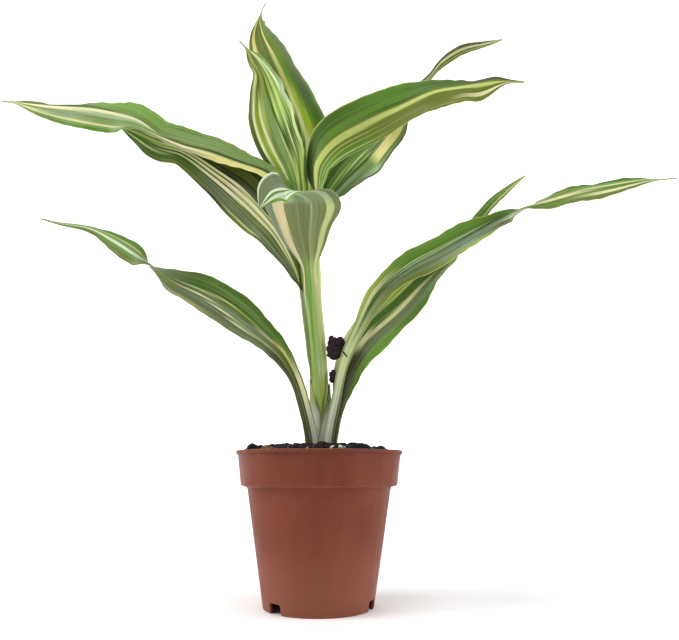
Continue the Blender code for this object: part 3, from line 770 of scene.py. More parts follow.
@dataclass(frozen=True)
class Pot:
    """The moulded nursery pot: lip, plain rim band, step, tapered wall, foot ring and raised floor.

    band_foot and step are (radius, height). notch_size is (depth, width, height). Bearings are in degrees.
    """

    height: float = 88.0
    lip_radius: float = 50.0
    lip_depth: float = 2.3
    lip_round: float = 0.6
    band_top: float = 48.8
    band_foot: Row = (46.7, 68.2)
    step: Row = (42.8, 66.6)
    foot_radius: float = 31.9
    foot_bevel: float = 0.5
    wall: float = 1.5
    floor_height: float = 6.0
    floor_thickness: float = 1.6
    notch_bearings: Row = (-135.5, -21.0, 102.0)
    notch_size: Row = (8.0, 9.0, 5.8)
    notch_round: float = 1.2
    drain_holes: int = 6
    drain_radius: float = 3.0
    drain_ring: float = 19.0
    drain_sides: int = 32
    steps: int = 160
    finish: PotFinish = PotFinish()

    def wall_radius(self, height: float) -> float:
        """The outer radius under the step."""
        return self.foot_radius + (self.step[0] - self.foot_radius) * height / self.step[1]

    def profile(self) -> np.ndarray:
        """The wall's section, from the middle of the floor over the lip to under the floor.

        Returns:
            Rows of (radius, height).
        """
        wall, lip = self.wall, self.lip_radius
        floor_top = self.floor_height + self.floor_thickness
        under = self.height - self.lip_depth
        rows = [(AXIS_RADIUS, floor_top), (self.wall_radius(floor_top) - wall - 1.0, floor_top)]
        rows += [(self.wall_radius(floor_top) - wall, floor_top + 1.0)]
        rows += [(self.step[0] - wall, self.step[1] + wall)]
        rows += [(self.band_foot[0] - wall, self.band_foot[1] + 0.8)]
        rows += [(self.band_top - wall + out, self.height - down)
                 for out, down in ((-0.05, 0.9), (0.35, 0.25), (0.9, 0.0))]
        rows += self.corner((lip, self.height), self.lip_round, 90.0, 0.0)
        rows += self.corner((lip, under + 0.2), 0.35, 0.0, -90.0)
        rows += [(self.band_top + 0.5, under - 0.05), (self.band_top + 0.12, under - 0.25)]
        rows += [(self.band_top, under - 0.7)]
        rows += self.corner((self.band_foot[0], self.band_foot[1] - 0.6), 0.7, 0.0, -70.0)
        rows += [(self.step[0] + 0.6, self.step[1] + 0.25), (self.step[0] + 0.1, self.step[1] - 0.2)]
        rows += [(self.wall_radius(height), height) for height in np.linspace(self.step[1] - 1.0, 1.0, 12)]
        rows += self.corner((self.wall_radius(0.0), 0.0), self.foot_bevel, 0.0, -90.0)
        rows += [(self.foot_radius - wall, 0.0)]
        rows += [(self.wall_radius(self.floor_height) - wall, self.floor_height)]
        rows += [(AXIS_RADIUS, self.floor_height)]
        return np.array(rows)

    @staticmethod
    def corner(point: Row, radius: float, start: float, end: float) -> list[Row]:
        """A rounded corner of the section.

        Args:
            point: the sharp corner as (radius, height).
            radius: how far it is rounded.
            start: the direction in degrees in which the round starts.
            end: the direction in which it ends.

        Returns:
            The points of the round.
        """
        lift = -radius if start > 0 else radius
        middle, foot = point[0] - radius, point[1] + lift
        turns = np.radians(np.linspace(start, end, 5))
        return [(middle + radius * math.cos(turn), foot + radius * math.sin(turn)) for turn in turns]

    def cut(self, pot: Object, tool: Object) -> None:
        """Cuts one tool's shape out of the pot.

        Args:
            pot: the pot.
            tool: the shape to take out, which is removed afterwards.
        """
        modifier = pot.modifiers.new("cut", "BOOLEAN")
        modifier.operation = "DIFFERENCE"
        modifier.object = tool
        graph = bpy.context.evaluated_depsgraph_get()
        pot.data = bpy.data.meshes.new_from_object(pot.evaluated_get(graph))
        pot.modifiers.clear()
        bpy.data.objects.remove(tool)

    def notch(self, bearing: float) -> Object:
        """The block that cuts one drain notch, with its upper corners rounded.

        Args:
            bearing: where the notch is, in degrees.

        Returns:
            The block.
        """
        depth, width, height = self.notch_size
        inset = self.notch_round
        outline = [(-width / 2, -2.0), (width / 2, -2.0)]
        for side, start in ((1, 0.0), (-1, 90.0)):
            for turn in np.radians(np.linspace(start, start + 90.0, 5)):
                out, up = polar(inset, turn)
                outline.append((side * (width / 2 - inset) + out, height - inset + up))
        rings = np.array([[(reach, u, w) for u, w in outline] for reach in (-depth / 2, depth / 2)])
        tool = place_object("notch", lay_skin("notch", rings, np.zeros(len(outline) + 1), np.zeros(2)))
        tool.rotation_euler.z = math.radians(bearing)
        tool.location = (*polar(self.foot_radius * MM, math.radians(bearing)), 0.0)
        return tool

    def drill(self, index: int) -> Object:
        """The round bar that cuts one drain hole.

        Args:
            index: which hole it is.

        Returns:
            The bar.
        """
        sides = self.drain_sides
        profile = np.array([(self.drain_radius, self.floor_height + lift) for lift in (-2.0, 4.0)])
        mesh = lay_skin("drill", turned_rings(profile, sides), np.zeros(sides + 1), np.zeros(2))
        tool = place_object("drill", mesh)
        tool.location = (*polar(self.drain_ring * MM, math.tau * index / self.drain_holes), 0.0)
        return tool

    def build(self) -> None:
        """Turns the pot, cuts its holes and dresses it."""
        shell = place_object("pot_shell_raw", lay_skin("pot_shell", turned_rings(self.profile(), self.steps)))
        for bearing in self.notch_bearings:
            self.cut(shell, self.notch(bearing))
        for index in range(self.drain_holes):
            self.cut(shell, self.drill(index))
        mesh = shell.data
        bpy.data.objects.remove(shell)
        material = self.finish.make("terracotta plastic")
        settle("pot_shell", mesh, material, ("pot",), crease=28.0)


# Potting mix


class Bit(Enum):
    """Kinds of bit in the potting mix."""

    CRUMB = "crumb"
    PERLITE = "perlite"
    BARK = "bark"


class Pile:
    """Gathers many small lumps into one mesh."""

    shapes = 10
    coarse = (1.1, 0.42)  # how close the dents are, and how deep
    fine = (2.9, 0.26)

    def __init__(self, seed: int, sides: int = 2) -> None:
        """Makes the rough shapes that the lumps are turned and scaled from.

        Args:
            seed: what the random draws start from.
            sides: how finely each shape is divided.
        """
        self.rng = random.Random(seed)
        self.points: list[np.ndarray] = []
        self.faces: list[np.ndarray] = []
        self.tones: list[np.ndarray] = []
        self.count = 0
        self.stock = [self.rough_lump(sides) for _ in range(self.shapes)]

    def rough_lump(self, sides: int) -> tuple[np.ndarray, np.ndarray]:
        """One ball pushed in and out into a crumb.

        Args:
            sides: how finely it is divided.

        Returns:
            Its points and its triangles.
        """
        body = bmesh.new()
        bmesh.ops.create_icosphere(body, subdivisions=sides, radius=1.0)
        offset = Vector([self.rng.uniform(-50, 50) for _ in range(3)])
        for vertex in body.verts:
            coarse = self.coarse[1] * noise.noise(vertex.co * self.coarse[0] + offset)
            fine = self.fine[1] * noise.noise(vertex.co * self.fine[0] - offset)
            vertex.co *= 1.0 + coarse + fine
        points = np.array([vertex.co[:] for vertex in body.verts])
        faces = np.array([[vertex.index for vertex in face.verts] for face in body.faces])
        body.free()
        return points, faces

    def add(self, place: Row, sizes: Row, tone: float, tilt: float = math.pi) -> None:
        """Adds one lump.

        Args:
            place: its middle in millimetres.
            sizes: its half sizes.
            tone: its own tone, from 0 for the dark tint to 1, or more for a pale speck.
            tilt: how far it may lean.
        """
        points, faces = self.rng.choice(self.stock)
        leans = self.rng.uniform(-tilt, tilt), self.rng.uniform(-tilt, tilt)
        turn = Euler((*leans, self.rng.uniform(0, math.tau)))
        placed = (points * np.array(sizes)) @ np.array(turn.to_matrix()).T + np.array(place)
        self.points.append(placed)
        self.faces.append(faces + self.count)
        self.tones.append(np.full(len(placed), tone))
        self.count += len(placed)

    def mesh(self, name: str) -> Mesh:
        """All the lumps as one mesh.

        Args:
            name: what the mesh is called.

        Returns:
            The mesh, which carries each lump's tone.
        """
        mesh = bpy.data.meshes.new(name)
        mesh.from_pydata((np.concatenate(self.points) * MM).tolist(), [], np.concatenate(self.faces).tolist())
        carry(mesh, "tone", np.concatenate(self.tones))
        return mesh


@dataclass(frozen=True)
class PottingMix:
    """The dark peat in the pot, with its crumbs, perlite, bits of bark and dry roots.

    lumps rows are (layer of the noise, how close the lumps are, how high).
    wall rows and floor are (radius, height) of the peat inside the pot.
    shares are those of each kind of bit, and feet rows are (x, y, radius) of what stands in the peat.
    bright_bits and tan_bits rows are (x, y, half size).
    """

    reach: float = 46.2
    edge_height: float = 87.0
    crown_height: float = 89.8
    right_fall: float = 0.07
    right_start: float = 22.0
    lumps: tuple[Row, ...] = ((3.0, 0.11, 0.9), (9.0, 0.34, 0.55))
    wall: tuple[Row, ...] = ((44.6, 69.2), (40.8, 68.2))
    floor: Row = (31.0, 7.9)
    steps: int = 144
    rings: int = 44
    crumbs: int = 1150
    shares: Row = (0.88, 0.045, 0.075)
    top: float = 92.6
    roots: int = 34
    root_points: int = 9
    root_step: float = 1.3
    root_reach: float = 40.0
    seed: int = 23
    feet: tuple[Row, ...] = ((0.2, 3.0, 5.4), (-4.6, -6.4, 3.6), (5.2, -6.6, 3.8), (9.6, 0.8, 3.4))
    bright_bits: tuple[Row, ...] = ((8.6, -41.5, 1.7), (12.4, -41.0, 2.1), (14.9, -39.5, 1.4))
    tan_bits: tuple[Row, ...] = ((-28.3, -33.0, 2.4), (-25.6, -35.0, 1.6))
    bed: CrumbFinish = CrumbFinish(pale_share=0.35, relief=0.8)
    crumb: CrumbFinish = CrumbFinish()
    perlite: CrumbFinish = CrumbFinish(Tint.STONE, Tint.PERLITE, 1.6, 0.85, 0.5, 0.3)
    bark: CrumbFinish = CrumbFinish(Tint.PEAT_BROWN, Tint.BARK, 1.3, 0.8, 0.7, 0.2)
    root: CrumbFinish = CrumbFinish(Tint.BARK, Tint.ROOT, 1.4, 0.7, 0.3)

    def surface(self, x: float, y: float) -> float:
        """The mound's height at a place.

        Args:
            x: the place to the right.
            y: the place to the back.

        Returns:
            The height.
        """
        share = min(math.hypot(x, y) / self.reach, 1.0)
        smooth = self.crown_height + (self.edge_height - self.crown_height) * share * share
        lumps = sum(noise.noise(Vector((x, y, layer)) * close) * high for layer, close, high in self.lumps)
        return smooth + lumps * (1.0 - share ** 8) - self.right_fall * max(x - self.right_start, 0.0)

    def build_bed(self) -> None:
        """The mound's rough skin, closed down the pot's wall to its floor."""
        turns = np.linspace(0.0, math.tau, self.steps, endpoint=False)
        rings = [[(*polar(AXIS_RADIUS, turn), self.surface(0, 0)) for turn in turns]]
        for radius in self.reach * np.linspace(0.0, 1.0, self.rings + 1)[1:] ** 0.9:
            places = [polar(radius, turn) for turn in turns]
            rings.append([(x, y, self.surface(x, y)) for x, y in places])
        for radius, height in (*self.wall, self.floor, (AXIS_RADIUS, self.floor[1])):
            rings.append([(*polar(radius, turn), height) for turn in turns])
        mesh = lay_skin("soil_bed", np.array(rings))
        carry(mesh, "tone", 0.5)
        settle("soil_bed", mesh, self.bed.make("peat bed"), ("soil",))

    def clear(self, x: float, y: float, size: float) -> bool:
        """True where a bit doesn't run into what stands in the pot."""
        return all(math.hypot(x - u, y - v) > radius + size for u, v, radius in self.feet)

    def build_bits(self) -> None:
        """Scatters the crumbs, perlite and bark over the mound."""
        rng = random.Random(self.seed)
        piles = {kind: Pile(self.seed + index) for index, kind in enumerate(Bit)}
        for _ in range(self.crumbs):
            kind = rng.choices(list(Bit), self.shares)[0]
            size = min(0.8 + rng.expovariate(1.15), 3.3) if kind is not Bit.PERLITE else rng.uniform(0.7, 1.7)
            radius = (self.reach - size) * math.sqrt(rng.random())
            x, y = polar(radius, rng.uniform(0, math.tau))
            if not self.clear(x, y, size):
                continue
            length = rng.uniform(1.3, 2.2) if kind is Bit.BARK else rng.uniform(0.9, 1.2)
            sizes = (size * length, size, size * (0.45 if kind is Bit.BARK else rng.uniform(0.6, 0.9)))
            height = self.surface(x, y) + sizes[2] * rng.uniform(-0.1, 0.45)
            piles[kind].add((x, y, min(height, self.top - size)), sizes, rng.random(), 0.5)
        for x, y, size in self.bright_bits:
            piles[Bit.PERLITE].add((x, y, self.surface(x, y) + 0.9), (size, size * 0.8, size * 0.7), 0.8, 0.5)
        for x, y, size in self.tan_bits:
            piles[Bit.BARK].add((x, y, self.surface(x, y) + 0.9), (size * 1.4, size, size * 0.7), 1.0, 0.3)
        finishes = {Bit.CRUMB: self.crumb, Bit.PERLITE: self.perlite, Bit.BARK: self.bark}
        for kind, pile in piles.items():
            material = finishes[kind].make(f"soil {kind.value}")
            settle(f"soil_{kind.value}", pile.mesh(kind.value), material, ("soil",), 30.0)

    def build_roots(self) -> None:
        """Thin dry roots that lie over the mound."""
        rng = random.Random(self.seed + 40)
        tubes: list[np.ndarray] = []
        for _ in range(self.roots):
            x, y = polar(self.root_reach * math.sqrt(rng.random()), rng.uniform(0, math.tau))
            heading = rng.uniform(0, math.tau)
            path = []
            for _ in range(self.root_points):
                path.append((x, y, self.surface(x, y) + rng.uniform(0.6, 1.5)))
                heading += rng.uniform(-0.5, 0.5)
                x, y = x + self.root_step * math.cos(heading), y + self.root_step * math.sin(heading)
            if max(math.hypot(px, py) for px, py, _ in path) < self.reach - 1.5:
                tubes.append(tube_rings(np.array(path), np.full(len(path), rng.uniform(0.12, 0.26)), 6, 30))
        mesh = merge_tubes("soil_roots", tubes)
        carry(mesh, "tone", 0.6)
        settle("soil_roots", mesh, self.root.make("dry root"), ("soil",))

    def build(self) -> None:
        """Makes all of the potting mix."""
        self.build_bed()
        self.build_bits()
        self.build_roots()


def tube_rings(path: np.ndarray, radii: np.ndarray, sides: int, count: int) -> np.ndarray:
    """Rings of points round a smooth path.

    Args:
        path: the points that the tube's middle passes through.
        radii: its radius at each.
        sides: how many points a ring has.
        count: how many rings there are.

    Returns:
        The rings.
    """
    knots = arc_lengths(path)
    table = spline(knots, np.column_stack((path, radii)), np.linspace(0.0, knots[-1], count))
    tangents = unit(np.gradient(table[:, :3], axis=0))
    side = square_to(np.tile((0.31, -0.9, 0.29), (count, 1)), tangents)
    other = np.cross(tangents, side)
    turns = np.linspace(0.0, math.tau, sides, endpoint=False)
    ring = np.cos(turns)[None, :, None] * side[:, None, :] + np.sin(turns)[None, :, None] * other[:, None, :]
    return table[:, None, :3] + ring * table[:, None, 3:4]


def merge_tubes(name: str, tubes: list[np.ndarray]) -> Mesh:
    """Several tubes as one mesh.

    Args:
        name: what the mesh is called.
        tubes: the rings of each tube.

    Returns:
        The mesh.
    """
    body = bmesh.new()
    for rings in tubes:
        single = lay_skin("part", rings)
        body.from_mesh(single)
        bpy.data.meshes.remove(single)
    mesh = bpy.data.meshes.new(name)
    body.to_mesh(mesh)
    body.free()
    return mesh


@dataclass(frozen=True)
class CaughtSoil:
    """A lump of potting mix that is caught beside the cane, made of crumbs, with a speck and maybe a twig.

    cores rows are (x, y, z, three half sizes), twig is a path and speck is (x, y, z, half size).
    """

    name: str
    node: str
    middle: Row
    halves: Row
    cores: tuple[Row, ...]
    seed: int
    crumbs: int = 60
    twig: tuple[Row, ...] = ()
    speck: Row = ()
    finish: CrumbFinish = CrumbFinish(Tint.PLUM, Tint.PEAT_BROWN, 0.8, 0.9, 0.7)

    def build(self) -> None:
        """Packs the lump's crumbs and dresses it."""
        pile = Pile(self.seed, 3)
        rng = random.Random(self.seed)
        for core in self.cores:
            pile.add(core[:3], core[3:], 0.1, 0.1)
        for _ in range(self.crumbs):
            way = unit(np.array([rng.gauss(0, 1) for _ in range(3)]))
            size = min(self.halves) * rng.uniform(0.16, 0.42)
            reach = np.array(self.halves) - size
            place = np.array(self.middle) + np.sign(way) * np.abs(way) ** 0.7 * reach * 0.92
            pile.add(tuple(place), (size * rng.uniform(1.0, 1.3), size, size * 0.8), rng.random())
        if self.speck:
            pile.add(self.speck[:3], (self.speck[3],) * 3, 6.0)
        material = self.finish.make(self.name.replace("_", " "))
        settle(self.name, pile.mesh(self.name), material, (self.node,), 30.0)
        if self.twig:
            rings = tube_rings(np.array(self.twig), np.linspace(0.55, 0.35, len(self.twig)), 8, 24)
            stick = merge_tubes(f"{self.name}_twig", [rings])
            carry(stick, "tone", 0.2)
            settle(f"{self.name}_twig", stick, CrumbFinish().make("dark twig"), (self.node,))


# Cane


@dataclass(frozen=True)
class Cane:
    """The upright cane with its node ring and fine ribs. Its rows are (x, y, z, radius)."""

    rows: tuple[Row, ...] = (
        (0.0, 3.2, 80.0, 5.4), (0.2, 3.0, 92.0, 5.4), (0.1, 2.0, 109.0, 5.1), (0.0, 1.4, 114.0, 5.2),
        (0.0, 1.2, 117.0, 5.6), (-0.1, 1.0, 120.5, 5.45), (-0.4, 0.8, 131.0, 5.6), (-2.8, 0.0, 158.0, 5.9),
        (-5.4, 0.0, 182.0, 6.2), (-6.6, 0.0, 204.0, 6.6), (-8.2, 0.0, 226.0, 6.3), (-8.7, 0.0, 243.0, 5.4),
        (-8.8, 0.0, 248.0, 3.6),
    )
    sides: int = 72
    step: float = 1.1
    rib_count: int = 20
    rib_height: float = 0.07
    crease: float = 50.0
    finish: LeafFinish = LeafFinish((
        Stripes(0.1, "SAGE 0.1 CHALK 0.3 SAGE 0.4 YELLOW_GREEN 0.6 SAGE"),
        Stripes(0.2, "OLIVE 0.06 OLIVE 0.14 YELLOW_GREEN 0.18 SPRING_GREEN 0.25 PALE_LIME 0.27 YELLOW_GREEN "
                     "0.31 CELERY 0.42 CELERY 0.5 YELLOW_GREEN 0.62 MID_GREEN 0.85 OLIVE"),
        Stripes(0.34, "OLIVE 0.06 OLIVE 0.14 BRIGHT_GREEN 0.18 SPRING_GREEN 0.25 FROST 0.27 SPRING_GREEN "
                      "0.31 PALE_LIME 0.42 CELERY 0.5 YELLOW_GREEN 0.62 MID_GREEN 0.85 OLIVE"),
        Stripes(0.6, "OLIVE 0.12 SPRING_GREEN 0.28 PALE_LIME 0.4 PALE_LIME 0.5 YELLOW_GREEN 0.62 MID_GREEN "
                     "0.85 OLIVE"),
        Stripes(0.9, "KHAKI 0.12 BRIGHT_GREEN 0.26 CREAM 0.30 BRIGHT_GREEN 0.4 PALE_LIME 0.5 YELLOW_GREEN "
                     "0.62 MID_GREEN 0.85 KHAKI"),
    ), streak=Tint.PALE_LIME, streak_share=0.25, reverse_share=0.0, seed=41.0)

    def at(self, height: float) -> Row:
        """The cane's middle and radius at a height."""
        rows = np.array(self.rows)
        return tuple(float(np.interp(height, rows[:, 2], rows[:, column])) for column in (0, 1, 3))

    def build(self) -> None:
        """Turns the cane's rows into a ribbed tube and dresses it."""
        rows = np.array(self.rows)
        heights = np.arange(rows[0, 2], rows[-1, 2] + self.step / 2, self.step)
        heights[-1] = rows[-1, 2]
        table = spline(rows[:, 2], rows, heights)
        turns = np.linspace(-math.pi, math.pi, self.sides, endpoint=False)
        ribs = 1.0 + self.rib_height / 6.0 * np.sin(turns * self.rib_count)
        radii = table[:, 3, None] * ribs[None, :]
        x, y, z = (table[:, column, None] for column in range(3))
        rings = np.stack((x + radii * np.cos(turns), y + radii * np.sin(turns), z + 0 * radii), axis=-1)
        span = rows[-1, 2] - rows[0, 2]
        mesh = lay_skin("cane_core", rings, along=(heights - heights[0]) / span)
        carry(mesh, "reverse", 0.0)
        settle("cane_core", mesh, self.finish.make("cane", span), ("cane",), self.crease)


@dataclass(frozen=True)
class Sheath:
    """An old leaf base that wraps part of the cane, with free edges that slant across it.

    edges rows are (z, bearing of one edge, bearing of the other, stand off the cane), bearings in degrees.
    """

    name: str
    edges: tuple[Row, ...]
    finish: LeafFinish
    thickness: float = 0.45
    rib_count: int = 26
    rib_height: float = 0.05
    sides: int = 36
    step: float = 1.4

    def build(self, cane: Cane) -> None:
        """Wraps the sheath round the cane and dresses it.

        Args:
            cane: the cane that it wraps.
        """
        rows = np.array(self.edges)
        heights = np.arange(rows[0, 0], rows[-1, 0] + self.step / 2, self.step)
        table = spline(rows[:, 0], rows[:, 1:], heights)
        rings = []
        for height, (start, end, stand) in zip(heights, table):
            x, y, radius = cane.at(height)
            turns = np.radians(np.linspace(start, end, self.sides))
            ribs = self.rib_height * np.sin(turns * self.rib_count)
            ring = []
            for reach, way in ((radius + stand + self.thickness, 1), (radius + stand, -1)):
                out = (reach + ribs)[::way]
                ring += list(zip(x + out * np.cos(turns[::way]), y + out * np.sin(turns[::way])))
            rings.append([(u, v, height) for u, v in ring])
        span = heights[-1] - heights[0]
        across = np.linspace(0.0, 1.0, self.sides)
        across = np.concatenate((across, across[::-1], [0.0]))
        mesh = lay_skin(self.name, np.array(rings), across, (heights - heights[0]) / span)
        carry(mesh, "reverse", 0.0)
        material = self.finish.make(self.name.replace("_", " "), span)
        settle(self.name, mesh, material, ("cane",), cane.crease)


SHEATHS = (
    Sheath(
        "sheath_left",
        edges=(
            (84.0, -250.0, -70.0, 0.1), (96.0, -250.0, -62.0, 0.15), (110.4, -250.0, -66.0, 0.25),
            (115.0, -250.0, -86.0, 0.3), (120.0, -250.0, -104.0, 0.4), (126.0, -245.0, -128.0, 0.3),
            (131.5, -230.0, -168.0, 0.2),
        ),
        finish=LeafFinish((
            Stripes(0.2, "SAGE 0.6 CHALK 0.9 SAGE"),
            Stripes(0.5, "SAGE 0.6 CHALK 0.85 KHAKI 0.975 SOOT_GREEN"),
            Stripes(0.8, "OLIVE 0.6 KHAKI 0.975 SOOT_GREEN"),
        ), streak=Tint.FROST, streak_share=0.3, reverse_share=0.0, seed=43.0),
    ),
    Sheath(
        "sheath_right",
        edges=(
            (84.0, -112.0, 80.0, 0.75), (92.0, -106.0, 80.0, 0.75), (100.0, -90.0, 80.0, 0.85),
            (110.0, -66.0, 75.0, 0.85), (120.0, -34.0, 65.0, 1.0), (129.0, -4.0, 45.0, 0.6),
        ),
        finish=LeafFinish((
            Stripes(0.3, "SOOT_GREEN 0.02 CHALK 0.14 SAGE 0.5 SLATE_GREEN"),
            Stripes(0.9, "SOOT_GREEN 0.03 SLATE_GREEN 0.3 SOOT_GREEN"),
        ), streak=Tint.FROST, streak_share=0.25, reverse_share=0.0, seed=47.0),
    ),
)


# Leaves


@dataclass(frozen=True)
class Blade:
    """One leaf: where its base hugs the cane, then its free midrib from base to tip.

    hug rows are (z, bearing on the cane, half width).
    free rows are (x, y, z, half width, left lean, right lean, curl), leans in degrees from flat to the front.
    across is the direction from left to right over the blade, one for the leaf or one for each row.
    wave is (height of the margin's wave, its length, its phase in turns), and ripple is the same for a finer
    one. hug_stand and hug_curl are how far off the cane the midrib lies and the base curls.
    """

    name: str
    hug: tuple[Row, ...]
    free: tuple[Row, ...]
    across: tuple[Row, ...]
    wave: Row
    finish: LeafFinish
    ripple: Row = (0.3, 11.0, 0.0)
    hug_stand: float = 0.85
    hug_curl: float = 0.8
    pleats: float = 3.0
    pleat_height: float = 0.13
    edge_thick: float = 0.26
    rib_thick: float = 0.8
    stalk_thick: float = 2.6
    stalk_top: float = 150.0
    stalk_blend: float = 25.0
    groove: float = 0.32
    groove_width: float = 0.07
    crown_width: float = 0.12
    strips: int = 14
    step: float = 2.2

    def control_rows(self, cane: Cane) -> tuple[np.ndarray, np.ndarray]:
        """The leaf's control rows.

        Args:
            cane: the cane that its base hugs.

        Returns:
            The points of the midrib, and for each the directions of both halves, half width, curl and
            thickness.
        """
        points, rest = [], []
        for height, bearing, half in self.hug:
            x, y, radius = cane.at(height)
            turn = math.radians(bearing)
            out, back = polar(radius + self.hug_stand, turn)
            points.append((x + out, y + back, height))
            right = np.array((math.sin(turn), -math.cos(turn), 0.0))
            curl = math.degrees(half / (radius + self.hug_curl))
            rest.append((*-right, *right, half, curl, self.rib_thick))
        first = len(points)
        points = np.array(points + [row[:3] for row in self.free], float)
        across = np.array(self.across * (len(points) if len(self.across) == 1 else 1), float)
        course = unit(np.gradient(points, axis=0))
        for index, row in enumerate(self.free):
            tangent = course[first + index]
            right = square_to(across[first + index], tangent)
            front = np.cross(right, tangent)
            left_lean, right_lean = np.radians(row[4:6])
            left = -right * math.cos(left_lean) + front * math.sin(left_lean)
            right = right * math.cos(right_lean) + front * math.sin(right_lean)
            stalk = 0.0 if self.hug else min(max((self.stalk_top - row[2]) / self.stalk_blend, 0.0), 1.0)
            thick = self.rib_thick + (self.stalk_thick - self.rib_thick) * stalk
            rest.append((*left, *right, row[3], row[6], thick))
        return points, np.array(rest)

    def ring(self, row: np.ndarray, tangent: np.ndarray, reach: float) -> np.ndarray:
        """One ring of points round the blade.

        Args:
            row: the midrib's point, the directions of both halves, half width, curl and thickness.
            tangent: the midrib's direction.
            reach: how far along the midrib the ring is.

        Returns:
            Points along the face from the left margin to the right, and back along the other face.
        """
        middle, left, right = row[0:3], square_to(row[3:6], tangent), square_to(row[6:9], tangent)
        half, curl, rib = max(row[9], 0.3), math.radians(row[10]), row[11]
        level = unit(right - left)
        fold = min(half / 4.0, 1.0)
        right = unit(level * (1 - fold) + right * fold)
        left = unit(-level * (1 - fold) + left * fold)
        spots = np.linspace(-1.0, 1.0, 2 * self.strips + 1)
        share = np.abs(spots)
        on_left = (spots < 0)[:, None]
        side = np.where(on_left, left, right)
        normal = np.where(on_left, np.cross(tangent, left), np.cross(right, tangent))
        bend = curl * share
        if abs(curl) > 1e-4:
            along, rise = half * np.sin(bend) / curl, half * (1 - np.cos(bend)) / curl
        else:
            along, rise = half * share, 0.0 * share
        full = min(half / 10.0, 1.0)
        for (height, length, phase), power in ((self.wave, 2), (self.ripple, 5)):
            turn = math.tau * (reach / length + phase + np.where(spots < 0, 0.25, 0.0))
            wander = 0.9 * math.sin(reach / (length * 0.61)) if power > 2 else 0.0
            rise = rise + height * full * share ** power * np.sin(turn + wander)
        rise = rise + self.pleat_height * full * np.sin(math.pi * self.pleats * share) * (1 - share ** 4)
        crown = unit(np.cross(tangent, left) + np.cross(right, tangent))
        dip = (self.groove * full * np.exp(-((share / self.groove_width) ** 2)))[:, None] * crown
        line = middle + side * along[:, None] + normal * rise[:, None]
        outward = unit(normal * np.cos(bend)[:, None] - side * np.sin(bend)[:, None])
        near = np.exp(-((share / self.crown_width) ** 2))[:, None]
        outward = unit(outward * (1 - near) + crown * near)
        thick = (self.edge_thick + (rib - self.edge_thick) * (1 - share * share))[:, None]
        face, back = line + outward * thick / 2 - dip, line - outward * thick / 2 - dip
        return np.concatenate((face, back[::-1]))

    def build(self, cane: Cane) -> None:
        """Lofts the blade and dresses it.

        Args:
            cane: the cane that its base hugs.
        """
        points, rest = self.control_rows(cane)
        knots = arc_lengths(points)
        count = max(int(round(knots[-1] / self.step)), 2)
        at = np.linspace(0.0, knots[-1], count + 1)
        table = spline(knots, np.column_stack((points, rest)), at)
        tangents = unit(np.gradient(table[:, 0:3], axis=0))
        rings = np.array([self.ring(*station) for station in zip(table, tangents, at)])
        spots = np.linspace(0.0, 1.0, 2 * self.strips + 1)
        across = np.concatenate((spots, spots[::-1], [0.0]))
        mesh = lay_skin(self.name, rings, across, at / knots[-1])
        size = len(spots)
        carry(mesh, "reverse", np.tile(np.repeat((0.0, 1.0), size), len(rings)))
        material = self.finish.make(f"{self.name} variegated", float(knots[-1]))
        settle(f"{self.name}_blade", mesh, material, (self.name,), 60.0)


